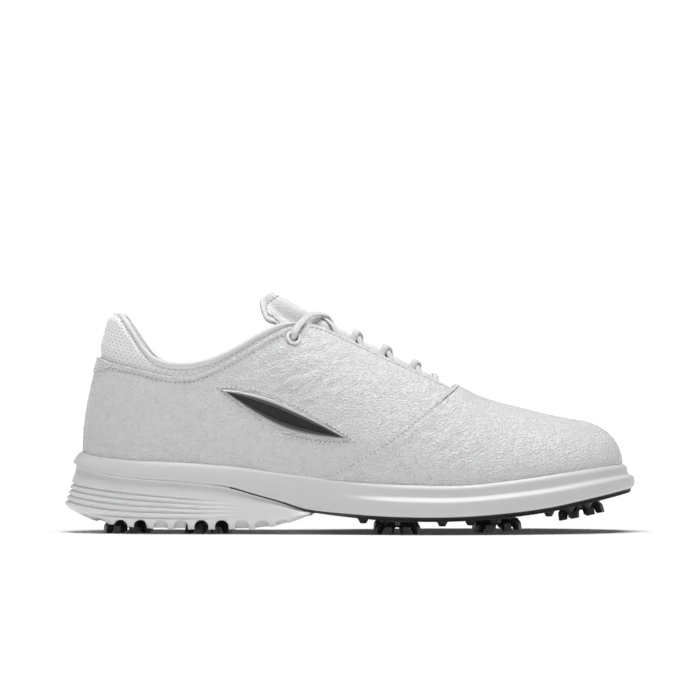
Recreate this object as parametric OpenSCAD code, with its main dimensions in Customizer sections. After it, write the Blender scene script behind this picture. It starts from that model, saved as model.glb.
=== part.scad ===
// Right golf shoe, laced, standing on its nine cleats.
// +X points to the toe, +Z up, -Y to the outer (lateral) side. Origin: centre of the
// shoe's box, on the ground. Every length is in millimetres.

/* [Upper] */
// Thickness of the outer leather
leather_t = 1.4; // [1:0.1:1.8]
// Thickness of the counter, toe puff and eyestay stiffeners
stiffener_t = 1.0; // [0.6:0.1:1.2]
// Thickness of the textile lining
lining_t = 1.2; // [0.8:0.1:1.4]
// Thickness of the collar's foam at its fullest
collar_foam_t = 4.5; // [3:0.5:6]
// Radius of the rolled topline
roll_r = 1.7; // [1.4:0.1:2.2]
// Thickness of the tongue's padding
tongue_pad_t = 3.2; // [2:0.2:4]

/* [Lacing] */
// Width of the flat oval lace
lace_w = 3.6; // [3:0.1:4]
// Thickness of the lace
lace_t = 1.8; // [1.6:0.1:2]
// Radius of the eyelet's hole
eyelet_r = 2.3; // [2.1:0.1:2.6]

/* [Sole] */
// Thickness of the sockliner
sockliner_t = 4.0; // [3:0.5:5]
// Thickness of the lasting board
board_t = 1.4; // [1:0.2:2]
// Thickness of the forefoot outsole plate
plate_t = 2.2; // [2:0.1:2.8]
// Pitch of the scallops along the heel unit
scallop_pitch = 10.6; // [9:0.2:12]

/* [Cleats] */
// Height of a cleat below its seat
cleat_h = 6.8; // [6:0.1:7.2]
// Number of legs on a cleat
cleat_legs = 8; // [6:1:9]
// Radius of the circle through the tips of the legs
cleat_r = 12.4; // [11:0.1:13]
// Radius of a cleat's pin
pin_r = 4.2; // [3.6:0.1:4.5]
// Radial running clearance of the pin in its socket
pin_gap = 0.05; // [0.02:0.01:0.1]

/* [Hidden] */

// Moves the finished shape so that its box is centred on the origin.
centre = [0.1, -0.13];

// Stations 0 (heel) to 12 (toe) of the upper's outer half surface, before the swing.
// A rib starts on the bite line, leaves it along RISE and reaches TOP along FALL.
BITE = [
    [-141.3, 0, 42.6], [-133.5, -19.5, 40.4], [-113, -31.5, 38.4], [-86, -34.5, 37.2],
    [-58, -35, 34.9], [-30, -37, 30.9], [0, -43, 27.4], [30, -48.5, 25.8], [60, -50, 25.6],
    [90, -46.5, 28.7], [115, -38.5, 32.2], [134, -24.5, 34.8], [145, 0, 35.6]
];
RISE = [
    [-0.7, 0, 27], [-1, -1.5, 28], [0, -3.5, 28], [0, -3.5, 28], [1, -4.5, 29], [0, -5, 31],
    [0, -4, 28], [0, -2.5, 22], [0, -2, 19], [0, -2, 15], [0.5, -2, 13], [0.5, -1.5, 12],
    [-0.4, 0, 14]
];
TOP = [
    [-118.8, 0, 147], [-112, -17, 147], [-97, -26, 147], [-80, -26, 147], [-68, -16, 146],
    [-62, 0, 145], [-30, 0, 123.2], [3, 0, 105.2], [38, 0, 87.6], [68, 0, 72.5],
    [90, 0, 66], [108, 0, 61.6], [120, 0, 59.5]
];
FALL = [
    [-11.5, 0, -50], [-11, 2, -46], [-7, 1, -42], [-6, -1, -40], [-2, -8, -33],
    [4, -19, -8], [4, -22, -4], [2, -23, -1], [1, -25, 0.5], [1, -26, 0], [3, -23, 0],
    [9, -15.5, -1], [14, 0, -1.8]
];
CORNER = 5;   // station where the ankle opening meets the instep ridge
TOE = 12;     // last station

// Side-view curves, as [x, z].
TOPLINE = [
    [-132, 115.2], [-125, 116.6], [-121, 115.6], [-116, 110], [-106, 96], [-99, 91.4],
    [-90, 89.8], [-80, 90.4], [-69, 93.7], [-58, 99.3], [-47, 105.9], [-37, 110.4],
    [-25, 112]
];
QUARTER_TOP = [
    [-134, 93], [-126, 89.8], [-106, 85], [-97, 82.8], [-88, 82], [-80, 82.9], [-69, 87.4],
    [-58, 93.2], [-47, 99.7], [-36, 105.8], [-27, 110], [-18, 109.6], [-5, 104.2],
    [20, 92.2], [40, 83.2], [54, 76.2]
];
LINING_TOP = [
    [-132, 113], [-125, 114.4], [-121, 113.4], [-116, 107.8], [-106, 93.8], [-99, 89.4],
    [-90, 87.8], [-80, 88.4], [-69, 91.7], [-58, 97.3], [-47, 103.9], [-37, 108.2],
    [-27, 109.5], [-18, 109.2], [-5, 103.8], [20, 91.8], [40, 82.8], [54, 75.8]
];
SEAM = [[26.5, -16], [28.8, -13.6], [37.8, 2], [49.2, 20.4], [64.6, 39.7], [77, 54.2]];
FLOOR = [
    [-146, 24], [-110, 22.9], [-60, 20.8], [-20, 16.4], [20, 14], [60, 14.6], [90, 17.6],
    [120, 23], [146, 29]
];
MIDSOLE_EDGE = [
    [-145, 36], [-126, 31.3], [-106, 29], [-86, 27.5], [-63, 24.9], [-52, 21.8],
    [-35, 17.1], [-22, 13.2], [2, 10.7], [25, 9.4], [54, 9.3], [80, 11], [104, 14],
    [128, 18.9], [151, 23.8]
];
MIDSOLE_CORE = [
    [-146, 13.4], [-110, 12.5], [-60, 12.4], [-22, 12.2], [2, 10.7], [25, 9.4], [54, 9.3],
    [80, 11], [104, 14], [128, 18.9], [151, 23.8]
];
HEEL_BASE = [[-146, 7.5], [-42, 7.5], [-32, 8.3], [-24, 9.3], [-16, 10.2]];
RIB_HIGH = [
    [-150, 27.6], [-133, 23.8], [-110, 20.8], [-79, 17.9], [-58, 16], [-40, 13.9],
    [-28, 12.2], [-20, 11.4]
];
RIB_LOW = [
    [-150, 17.5], [-133, 11.4], [-115, 9.2], [-99, 8.8], [-59, 8.6], [-40, 8.7],
    [-28, 9.6], [-20, 10.7]
];
LUG_TIPS = [
    [-150, 7.8], [-133, 5.8], [-119, 4.2], [-100, 2.8], [-55, 2.6], [-38, 4.2], [-28, 7.2],
    [-21, 10], [-16, 11]
];
SWING = [[-150, 0], [-90, -1], [-20, -2.5], [40, -1], [90, 3], [150, 6.5]];

heel_front = 5.35;   // station where the heel unit ends
plate_rear = 3.94;   // station where the outsole plate's thin tail starts
core_inset = 9;      // how far the midsole's core lies inside the bite line
gap = 0.1;           // clearance between neighbouring layers
board_rise = 0.3;    // how far the lasting board lies above the midsole's bed
bed_gap = 0.45;      // clearance between the midsole and the outsole parts

// Cleats as [x, y from the sole's middle line, tilt about Y].
CLEATS = [
    [-117, -14, 0], [-117, 14, 0], [-74, -19, 0], [-74, 18, 0], [25, -30, 0], [25, 28, 0],
    [77.5, -27, -4.5], [77.5, 26, -4.5], [122, 0, -11.5]
];
FRONT_CLEATS = [4:8];
REAR_CLEATS = [0:3];
socket_h = 5.4;       // height of a socket above its seat
socket_r = 7.2;       // radius of its barrel, in the outsole
collar_r = 8.8;       // radius of its collar, above the outsole
collar_z = 3;         // where the collar starts
ear_r = 5.6;          // radius to the tips of a pin's three ears
ear_z = [3.3, 4.6];   // the ears' height range above the seat
ear_angle = 40;       // width of an ear

// ---- curves -------------------------------------------------------------------------

function hermite(a, b, ta, tb, f) =
    (2*f^3 - 3*f^2 + 1)*a + (f^3 - 2*f^2 + f)*ta + (3*f^2 - 2*f^3)*b + (f^3 - f^2)*tb;
function flip(p) = [p.x, -p.y, p.z];
function mix(a, b, f) = a + (b - a)*f;
function clamp01(f) = max(0, min(1, f));
function ease(lo, hi, x) = let (f = clamp01((x - lo)/(hi - lo))) f*f*(3 - 2*f);

// Smooth value at station s; the list continues mirrored past the heel and the toe.
function station(list, s) =
    let (i = min(floor(s), TOE - 1), a = list[i], b = list[i + 1],
         before = i > 0 ? list[i - 1] : flip(list[1]),
         after = i < TOE - 1 ? list[i + 2] : flip(list[TOE - 1]))
    hermite(a, b, (b - before)/2, (after - a)/2, s - i);

// The top boundary turns a corner where the opening meets the ridge.
function top_at(s) =
    let (i = min(floor(s), TOE - 1), a = TOP[i], b = TOP[i + 1],
         before = i == 0 ? flip(TOP[1]) : i == CORNER ? 2*a - b : TOP[i - 1],
         after = i == TOE - 1 ? TOP[TOE - 1] : i == CORNER - 1 ? 2*b - a : TOP[i + 2])
    hermite(a, b, (b - before)/2, (after - a)/2, s - i);

function segment(c, x, i = 0) = i >= len(c) - 2 || x < c[i + 1][0] ? i : segment(c, x, i + 1);
function slope(c, i) =
    let (a = max(i - 1, 0), b = min(i + 1, len(c) - 1)) (c[b][1] - c[a][1])/(c[b][0] - c[a][0]);
// Smooth value of a [x, value] list, straight beyond its ends.
function curve(c, x) =
    x <= c[0][0] ? c[0][1] + (x - c[0][0])*slope(c, 0)
    : x >= c[len(c) - 1][0] ? c[len(c) - 1][1] + (x - c[len(c) - 1][0])*slope(c, len(c) - 1)
    : let (i = segment(c, x), w = c[i + 1][0] - c[i][0])
      hermite(c[i][1], c[i + 1][1], slope(c, i)*w, slope(c, i + 1)*w, (x - c[i][0])/w);

// ---- the upper's outer surface ------------------------------------------------------

// Stations run 0 to 12 on the lateral side, on to 24 back along the medial side, and
// below 0 from the heel along the medial side.
function lateral(a) = a >= 0 && a <= TOE;
function half(a) = a > TOE ? 2*TOE - a : abs(a);
function to_side(a, p) = lateral(a) ? p : flip(p);

function bite(a) = to_side(a, station(BITE, half(a)));
function outward(a) =
    let (h = half(a), d = station(BITE, min(h + 0.01, TOE)) - station(BITE, max(h - 0.01, 0)),
         n = h >= TOE - 0.01 ? [1, 0, 0] : h <= 0.01 ? [-1, 0, 0] : [d.y, -d.x, 0])
    to_side(a, n/norm(n));

function rib(s, t) =
    let (b = station(BITE, s), r = b + station(RISE, s), e = top_at(s), f = e + station(FALL, s))
    (1 - t)^3*b + 3*(1 - t)^2*t*r + 3*(1 - t)*t^2*f + t^3*e;
// Below the bite line (t under 0) the wall tucks in to the lasting board.
function wall(s, t) =
    let (b = station(BITE, s)) b - outward(s)*4*t*t + [0, 0, t*(b.z - curve(FLOOR, b.x))];
function side_point(s, t) = t >= 0 ? rib(s, t) : wall(s, t);
function shell_at(a, t) = to_side(a, side_point(half(a), t));

function unit(v) = v/norm(v);
function normal(a, t) =
    let (h = 0.02, s = half(a), s0 = max(s - h, 0), s1 = min(s + h, TOE),
         t0 = t < 0 ? max(t - h, -1) : max(t - h, 0), t1 = t < 0 ? min(t + h, 0) : min(t + h, 1),
         up = side_point(s, t1) - side_point(s, t0),
         ahead = s < 0.001 ? [0, -1, 0] : s > TOE - 0.001 ? [0, 1, 0]
             : side_point(s1, t) - side_point(s0, t),
         n = cross(ahead, up),
         on_ridge = t > 0.999 && s >= CORNER)
    to_side(a, unit(on_ridge ? [n.x, 0, n.z] : n));

// The shoe bends inward towards the toe, and its medial arch is narrower.
function swing(p) =
    let (arch = p.y > 0 ? 0.11*exp(-((p.x + 28)/38)^2) : 0)
    [p.x + centre.x, p.y*(1 - arch) + curve(SWING, p.x) + centre.y, p.z];
function skin(a, t, depth) = swing(shell_at(a, t) - normal(a, t)*depth);

// Height on a rib, from 0 to 1, where it crosses a side-view curve.
function crossing(a, c, lo = 0, hi = 1, n = 12) =
    let (t = (lo + hi)/2, p = shell_at(a, t))
    n == 0 ? t : p.z < curve(c, p.x) ? crossing(a, c, t, hi, n - 1) : crossing(a, c, lo, t, n - 1);
// Station of the seam between vamp and quarter at height t.
function find_seam(t, lo = 5, hi = 9.5, n = 12) =
    let (a = (lo + hi)/2, p = shell_at(a, t))
    n == 0 ? a : p.x < curve(SEAM, p.z) ? find_seam(t, a, hi, n - 1) : find_seam(t, lo, a, n - 1);
SEAM_STATIONS = [for (i = [0:20]) [i/20, find_seam(i/20)]];
function seam(t) = curve(SEAM_STATIONS, clamp01(t));
// Height where the column at share u of the way from the heel to the seam meets a curve.
function column_top(u, c, lo = 0, hi = 1, n = 12) =
    let (t = (lo + hi)/2, p = shell_at(u*seam(t), t))
    n == 0 ? t : p.z < curve(c, p.x) ? column_top(u, c, t, hi, n - 1)
    : column_top(u, c, lo, t, n - 1);

// ---- solids from grids --------------------------------------------------------------

function quad(a, b, c, d) = [[a, b, c], [a, c, d]];
function flat_list(l) = [for (a = l) for (b = a) b];

// A closed layer between two grids of points, [column][row]. With folded, the last
// column lies on the fold line and its two halves are one.
module layer(outside, inside, folded = false) {
    n = len(outside) - 1;
    m = len(outside[0]) - 1;
    size = (n + 1)*(m + 1);
    function id(i, j) = i*(m + 1) + (folded && i == n ? min(j, m - j) : j);
    faces = flat_list([
        for (i = [0:n - 1]) for (j = [0:m - 1])
            quad(id(i, j), id(i, j + 1), id(i + 1, j + 1), id(i + 1, j)),
        for (i = [0:n - 1]) for (j = [0:m - 1])
            quad(size + id(i, j), size + id(i + 1, j), size + id(i + 1, j + 1), size + id(i, j + 1)),
        for (i = [0:n - 1])
            quad(id(i, 0), id(i + 1, 0), size + id(i + 1, 0), size + id(i, 0)),
        for (i = [0:n - 1])
            quad(id(i, m), size + id(i, m), size + id(i + 1, m), id(i + 1, m)),
        for (j = [0:m - 1])
            quad(id(0, j), size + id(0, j), size + id(0, j + 1), id(0, j + 1)),
        if (!folded) for (j = [0:m - 1])
            quad(id(n, j), id(n, j + 1), size + id(n, j + 1), size + id(n, j))
    ]);
    real = [for (f = faces) if (f[0] != f[1] && f[1] != f[2] && f[0] != f[2]) f];
    polyhedron(concat(flat_list(outside), flat_list(inside)), real);
}

// A layer of the upper; place(u, v) gives [station, t], and the depths are functions too.
module upper_layer(place, us, vs, outer, inner, folded = false) {
    grid = function(depth) [for (u = us) [for (v = vs)
        let (p = place(u, v)) skin(p[0], p[1], depth(u, v))]];
    layer(grid(outer), grid(inner), folded);
}

function steps(a, b, n) = [for (i = [0:n]) mix(a, b, i/n)];
function even(d) = function(u, v) d;

// A solid from closed rings of matching points; its ends are strips from side to side.
module ring_loft(rings) {
    n = len(rings[0]);
    k = len(rings) - 1;
    faces = flat_list([
        for (r = [0:k - 1]) for (i = [0:n - 1]) let (j = (i + 1) % n)
            quad(r*n + i, (r + 1)*n + i, (r + 1)*n + j, r*n + j),
        for (i = [0:n/2 - 2]) quad(i, i + 1, n - 2 - i, n - 1 - i),
        for (i = [0:n/2 - 2])
            quad(k*n + i, k*n + n - 1 - i, k*n + n - 2 - i, k*n + i + 1)
    ]);
    polyhedron(flat_list(rings), faces);
}
function around(n) = [for (i = [0:n - 1]) 2*TOE*(i + 0.5)/n];
function ring(stations, offset, height) = [for (a = stations)
    let (b = bite(a) + outward(a)*offset(a)) swing([b.x, b.y, height(b.x, a)])];

// Puts its children at a point of the upper with +Z along the outward normal and +Y up
// the rib.
module on_skin(a, t, depth = 0) {
    n = normal(a, t);
    p = skin(a, t, depth);
    x = unit(cross(rise_at(a, t), n));
    y = cross(n, x);
    multmatrix([[x.x, y.x, n.x, p.x], [x.y, y.y, n.y, p.y], [x.z, y.z, n.z, p.z], [0, 0, 0, 1]])
        children();
}

// ---- upper parts --------------------------------------------------------------------

white = [0.93, 0.93, 0.93];
off_white = [0.86, 0.87, 0.88];
pale_grey = [0.78, 0.79, 0.8];
foam_yellow = [0.9, 0.86, 0.7];
black = [0.08, 0.08, 0.09];
dark_grey = [0.3, 0.31, 0.33];

tuck = -0.7;              // how far the upper runs down inside the midsole
lining_in = leather_t + stiffener_t + 0.4;        // depth of the lining's outer face
inside = lining_in + lining_t;                    // depth of the lining's inner face
vamp_ribs = 24;

// Both sides of a rib: v runs from -1 (lateral edge) over the ridge to 1 (medial edge).
function over_ridge(a, t, v) = v > 0 ? [2*TOE - a, t] : [a, t];
function vamp_place(low, start) = function(u, v)
    let (t = mix(low, 1, 1 - abs(v))) over_ridge(mix(start(t), TOE, u), t, v);

module vamp() color(white)
    upper_layer(vamp_place(tuck, function(t) seam(t) + 0.01), steps(0, 1, 14),
                steps(-1, 1, vamp_ribs), even(0), even(leather_t), true);

module vamp_lining() color(pale_grey)
    upper_layer(vamp_place(tuck, function(t) seam(t) + 0.01), steps(0, 1, 12),
                steps(-1, 1, 18), even(lining_in), even(inside), true);

// The toe puff keeps to the vamp's own columns and ribs, so that the two lie flat together.
module toe_puff() color(off_white)
    upper_layer(vamp_place(tuck, function(t) seam(t) + 0.01), [for (i = [6:14]) i/14],
                [for (j = [1:vamp_ribs - 1]) 2*j/vamp_ribs - 1],
                even(leather_t + gap), even(lining_in - 0.55), true);

// Columns from the medial seam (u = -1) round the heel to the lateral seam (u = 1).
function quarter_place(c, low = tuck) = function(u, v)
    let (t = mix(low, column_top(abs(u), c), v)) [u*seam(t), t];
quarter_us = [
    0.0015, 0.08, 0.16, 0.25, 0.34, 0.43, 0.52, 0.6, 0.68, 0.76, 0.83, 0.89, 0.945, 0.998
];
function negative(l) = [for (i = [len(l) - 1:-1:0]) -l[i]];
quarter_vs = [0, 0.12, 0.24, 0.36, 0.48, 0.6, 0.7, 0.8, 0.88, 0.94, 1];

module quarter(us) difference() {
    upper_layer(quarter_place(QUARTER_TOP), us, quarter_vs, even(0), even(leather_t));
    eyelet_holes();
}
module quarter_lateral() color(white) quarter(quarter_us);
module quarter_medial() color(white) quarter(negative(quarter_us));

// Eyelets of the top row, as [station, t].
EYELET = [5.65, 0.612];
module eyelet_holes() {
    for (a = [EYELET[0], -EYELET[0]])
        on_skin(a, EYELET[1]) cylinder(r = eyelet_r + 0.5, h = 14, center = true, $fn = 32);
}
module eyelet_ring(a) on_skin(a, EYELET[1]) {
    rotate_extrude($fn = 40) polygon([
        [eyelet_r, -inside - 0.2], [eyelet_r + 0.4, -inside - 0.2], [eyelet_r + 0.4, 0.15],
        [eyelet_r + 1.9, 0.15], [eyelet_r + 1.8, 0.7], [eyelet_r + 1.2, 1.1],
        [eyelet_r + 0.5, 1.1], [eyelet_r, 0.7]
    ]);
}
module eyelet_ring_lateral() color(off_white) eyelet_ring(EYELET[0]);
module eyelet_ring_medial() color(off_white) eyelet_ring(-EYELET[0]);

// Textile panel between the quarter's top seam and the rolled topline.
panel_end = 4.1;
function roll_size(a) = roll_r*(0.45 + 0.55*ease(6.1, 5.2, abs(a)));
// The panel ends below the roll, further down where the topline is steep.
function topline_slope(a) =
    let (x = shell_at(a, crossing(a, TOPLINE)).x) (curve(TOPLINE, x + 1) - curve(TOPLINE, x - 1))/2;
function panel_drop(a) = (2*roll_size(a) + 0.3)*sqrt(1 + topline_slope(a)^2);
function collar_place(u, v) =
    [u, mix(crossing(u, QUARTER_TOP) + 0.007, level(u, TOPLINE, -panel_drop(u)), v)];
module collar_panel() color(off_white)
    upper_layer(function(u, v) collar_place(u, v), steps(-panel_end, panel_end, 28),
                steps(0, 1, 4), even(0.7), even(1.9));

// The roll's middle lies deeper at the heel, where the panel stands behind it.
function roll_depth(a) = 1.5 + 2*ease(1.6, 0.3, abs(a));
function roll_ring(a) =
    let (t = crossing(a, TOPLINE), n = normal(a, t), up = rise_at(a, t),
         r = roll_size(a), c = skin(a, t, roll_depth(a)) - up*r)
    [for (i = [0:9]) c + n*r*0.95*cos(36*i + 18) - up*r*sin(36*i + 18)];
// Unit vector up a rib.
function rise_at(a, t) = unit(skin(a, t + 0.01, 0) - skin(a, t - 0.01, 0));
module topline_roll() color(off_white) ring_loft([for (a = steps(-5.95, 5.95, 36)) roll_ring(a)]);

// How much the collar's foam pushes the lining inward, at height z of station a.
foam_low = 24;      // how far below the topline the foam reaches
function foam(p) =
    let (d = curve(TOPLINE, p.x) - p.z, side = ease(-30, -60, p.x))
    collar_foam_t*side*ease(foam_low, 9, d)*(1 - 0.55*ease(6, 0, d));
function foam_place(u, v) =
    let (high = crossing(u, TOPLINE) - 0.05)
    [u, mix(high - 0.16, high, v)];
function foam_depth(u, v) = let (p = foam_place(u, v)) foam(shell_at(p[0], p[1]));
module collar_foam() color(foam_yellow)
    upper_layer(function(u, v) foam_place(u, v), steps(-4.9, 4.9, 24), steps(0, 1, 6),
                even(2.15), function(u, v) lining_in - 0.25 + 0.82*foam_depth(u, v));

lining_vs = [0, 0.2, 0.4, 0.56, 0.66, 0.72, 0.77, 0.82, 0.87, 0.91, 0.95, 1];
module quarter_lining() color(pale_grey) difference() {
    place = quarter_place(LINING_TOP);
    bulge = function(u, v) let (p = place(u, v)) foam(shell_at(p[0], p[1]));
    upper_layer(place, concat(negative(quarter_us), quarter_us), lining_vs,
                function(u, v) lining_in + bulge(u, v), function(u, v) inside + bulge(u, v));
    eyelet_holes();
}

// Small overlay that covers the back seam below the collar.
function patch_place(u, v) =
    let (high = crossing(u, QUARTER_TOP), low = level(u, QUARTER_TOP, -9.5 + 7.5*abs(u/1.15)^1.3))
    [u, mix(low, high, v)];
function level(a, c, dz, lo = 0, hi = 1, n = 12) =
    let (t = (lo + hi)/2, p = shell_at(a, t))
    n == 0 ? t : p.z - dz < curve(c, p.x) ? level(a, c, dz, t, hi, n - 1)
    : level(a, c, dz, lo, t, n - 1);
module heel_patch() color(white)
    upper_layer(function(u, v) patch_place(u, v), steps(-1.15, 1.15, 8), steps(0, 1, 3),
                even(-0.7), even(-0.05));

// The stiffeners keep to the quarters' own columns and rows, so that they lie flat inside.
counter_us = [for (i = [0:5]) quarter_us[i]];
module heel_counter() color(off_white)
    upper_layer(quarter_place(QUARTER_TOP), concat(negative(counter_us), counter_us),
                [for (i = [1:7]) quarter_vs[i]], even(leather_t + gap), even(lining_in - 0.55));

// Strip that stiffens the facing around the eyelet and the lace loops.
stay_us = [for (i = [8:12]) quarter_us[i]];
module eyestay(us) difference() {
    upper_layer(quarter_place(QUARTER_TOP), us, [0.88, 0.94, 1],
                even(leather_t + 2*gap), even(lining_in - 0.85));
    eyelet_holes();
}
module eyestay_lateral() color(off_white) eyestay(stay_us);
module eyestay_medial() color(off_white) eyestay(negative(stay_us));

// ---- badges -------------------------------------------------------------------------

BADGE_LINE = [[-70, 76.5], [-35, 61.5], [2, 48.5]];
BADGE_ENDS = [3.78, 6.1];
badge_half = 6.2;
function badge_place(side, share) = function(u, v)
    let (a = mix(BADGE_ENDS[0], BADGE_ENDS[1], 0.5 + (u - 0.5)*share[0]),
         h = badge_half*share[1]*max(0.16, sqrt(1 - (2*u - 1)^2)))
    [side*a, level(side*a, BADGE_LINE, v*h)];
badge_us = [0, 0.025, 0.08, 0.18, 0.3, 0.42, 0.54, 0.66, 0.78, 0.88, 0.96, 1];
module badge(side, share, outer, inner) upper_layer(badge_place(side, share),
    [for (i = [0:11]) side > 0 ? badge_us[i] : badge_us[11 - i]], [-1, -0.5, 0, 0.5, 1],
    even(outer), even(inner));
module badge_backing_lateral() color(dark_grey) badge(1, [1, 1], -1.1, -0.5);
module badge_backing_medial() color(dark_grey) badge(-1, [1, 1], -1.1, -0.5);
module badge_inlay_lateral() color(black) badge(1, [0.9, 0.62], -1.6, -1.2);
module badge_inlay_medial() color(black) badge(-1, [0.9, 0.62], -1.6, -1.2);

// ---- tongue -------------------------------------------------------------------------

tongue_front = 8.62;      // station of the tongue's stitched front edge
tongue_under = 1.8;       // depth of the tongue below the ridge line, between the laces
tongue_skin = 1.2;        // thickness of its outer leather
tongue_lining_t = 0.9;

// Depth of the tongue's face: it dips under the facings, the vamp and at its tip.
function tongue_depth(s, w) =
    tongue_under + 6.2*ease(0.06, 0.2, abs(w)) + 4.2*ease(6.2, 5.5, s)*(1 - ease(0.06, 0.3, abs(w)))
    + 3*ease(8.15, 8.5, s)*(1 - ease(0.06, 0.2, abs(w)));
// How far the tongue reaches down each rib.
function tongue_span(s) = 0.27 + 0.05*ease(6.5, 5.6, s);
function tongue_place(u, v) =
    let (s = mix(tongue_front, 5.72 - 0.33*ease(0, 0.9, abs(v)), u), t = 1 - tongue_span(s)*abs(v))
    v > 0 ? [2*TOE - s, t] : [s, t];
function tongue_face(extra) = function(u, v)
    let (p = tongue_place(u, v), s = half(p[0])) tongue_depth(s, 1 - p[1]) + extra(u, v);
function tongue_thick(u, v) =
    tongue_skin + tongue_pad_t*ease(0, 0.15, u)*ease(1.02, 0.9, u)*ease(1.05, 0.7, abs(v));
tongue_vs = [-1, -0.85, -0.7, -0.55, -0.4, -0.25, 0, 0.25, 0.4, 0.55, 0.7, 0.85, 1];
tongue_us = [1, 0.95, 0.88, 0.8, 0.69, 0.58, 0.47, 0.36, 0.25, 0.15, 0.07, 0];
module tongue() color(white)
    upper_layer(function(u, v) tongue_place(u, v), tongue_us, tongue_vs,
                tongue_face(even(0)), tongue_face(function(u, v) tongue_thick(u, v)));
module tongue_lining() color(pale_grey)
    upper_layer(function(u, v) tongue_place(u, v), tongue_us, tongue_vs,
                tongue_face(function(u, v) tongue_thick(u, v) + gap),
                tongue_face(function(u, v) tongue_thick(u, v) + gap + tongue_lining_t));

// ---- laces --------------------------------------------------------------------------

// Lace points are [station, distance from the ridge, depth, turn]: the distance is negative
// on the lateral side, and turn tips the lace's face from the skin's normal down the rib.
LOOP_ROWS = [8.1, 7.68, 7.23, 6.79];
CROSSINGS = [7.9, 7.45, 7.01, 6.52];
under_facing = 5.9;                  // depth of the lace in its loops
low_pass = tongue_under - lace_t/2 - 0.12;
high_pass = low_pass - lace_t - 0.12;

function lace_place(c) = skin(c[1] > 0 ? 2*TOE - c[0] : c[0], 1 - abs(c[1]), c[2]);
function lace_up(c) =
    let (a = c[1] > 0 ? 2*TOE - c[0] : c[0], t = 1 - abs(c[1]))
    unit(normal(a, t)*(1 - c[3]) - rise_at(a, t)*c[3]);

// The lace goes round one loop: in on the near leg, out on the far one.
function loop_turn(s, side, way) = [for (q = [[-0.13, 0.19, 5.4], [-0.115, 0.226, under_facing],
    [0, 0.247, under_facing], [0.115, 0.226, under_facing], [0.13, 0.19, 5.4]])
    [s + way*q[0], side*q[1], q[2], 0]];
// The lace crosses the ridge from one side to the other.
function ridge_pass(s0, s1, c, side, depth) = [for (q = [[0.7, 0.125, 2.5], [0.35, 0.07, 0.75],
    [0, 0, 0], [-0.35, -0.07, 0.75], [-0.7, -0.125, 2.5]])
    [mix(c, q[0] > 0 ? s0 : s1, abs(q[0])), side*q[1],
     q[0] == 0 ? depth : min(q[2], abs(q[1]) > 0.1 ? q[2] : depth), 0]];
// From the inside of an eyelet out through it and over the facing.
function eyelet_run(side) = [for (q = [[5.65, 0.388, 6.4, 1], [5.65, 0.388, 4.8, 1],
    [5.65, 0.388, 2.5, 1], [5.65, 0.387, 0, 0.95], [5.66, 0.38, -1.5, 0.6],
    [5.71, 0.355, -2.1, 0.15], [5.82, 0.31, -1.4, 0], [6.0, 0.24, -1.1, 0],
    [6.24, 0.13, -0.6, 0]]) [q[0], side*q[1], q[2], q[3]]];
function backwards(l) = [for (i = [len(l) - 1:-1:0]) l[i]];

function half_lace(side, over) = concat(
    eyelet_run(side),
    [[CROSSINGS[3], 0, over ? high_pass : low_pass, 0]],
    [[6.62, -side*0.08, 0.8, 0], [6.67, -side*0.13, 2.6, 0]],
    loop_turn(LOOP_ROWS[3], -side, 1),
    ridge_pass(LOOP_ROWS[3] + 0.13, LOOP_ROWS[2] - 0.13, CROSSINGS[2], -side, over ? low_pass : high_pass),
    loop_turn(LOOP_ROWS[2], side, 1),
    ridge_pass(LOOP_ROWS[2] + 0.13, LOOP_ROWS[1] - 0.13, CROSSINGS[1], side, over ? high_pass : low_pass),
    loop_turn(LOOP_ROWS[1], -side, 1),
    ridge_pass(LOOP_ROWS[1] + 0.13, LOOP_ROWS[0] - 0.13, CROSSINGS[0], -side, over ? low_pass : high_pass),
    loop_turn(LOOP_ROWS[0], side, 1)
);
LACE = concat(
    half_lace(-1, true),
    [for (w = [-0.13, -0.07, 0, 0.07, 0.13]) [LOOP_ROWS[0] + 0.13, w, abs(w) > 0.1 ? 2.5 : low_pass, 0]],
    backwards(half_lace(1, false))
);

// A flat oval cord through points with a given upward direction at each.
function cord_ring(p, tangent, up, w, t) =
    let (side = unit(cross(tangent, up)), top = cross(side, tangent))
    [for (i = [0:7]) p + side*w/2*cos(45*i + 22.5) - top*t/2*sin(45*i + 22.5)];
function cord_rings(points, ups, w, t) = [for (i = [0:len(points) - 1])
    cord_ring(points[i], unit(points[min(i + 1, len(points) - 1)] - points[max(i - 1, 0)]),
              ups[i], w, t)];
module cord(list) ring_loft(cord_rings([for (c = list) lace_place(c)], [for (c = list) lace_up(c)],
                                       lace_w, lace_t));
module lace() color(white) cord(LACE);

// Webbing loops under the facings that the lace turns in.
loop_w = 1.4;
module lace_loop(s, side) {
    a = side > 0 ? 2*TOE - s : s;
    t = 1 - 0.247;
    on_skin(a, t, under_facing) {
        difference() {
            cube([loop_w, lace_w + 4.4, lace_t + 1.3], center = true);
            cube([loop_w + 1, lace_w + 3.6, lace_t + 0.6], center = true);
        }
        translate([0, -lace_w/2 - 4.7, 0]) cube([loop_w, 5.2, 0.8], center = true);
    }
}
module lace_loops() color(pale_grey)
    for (s = LOOP_ROWS) for (side = [-1, 1]) lace_loop(s, side);

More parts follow.
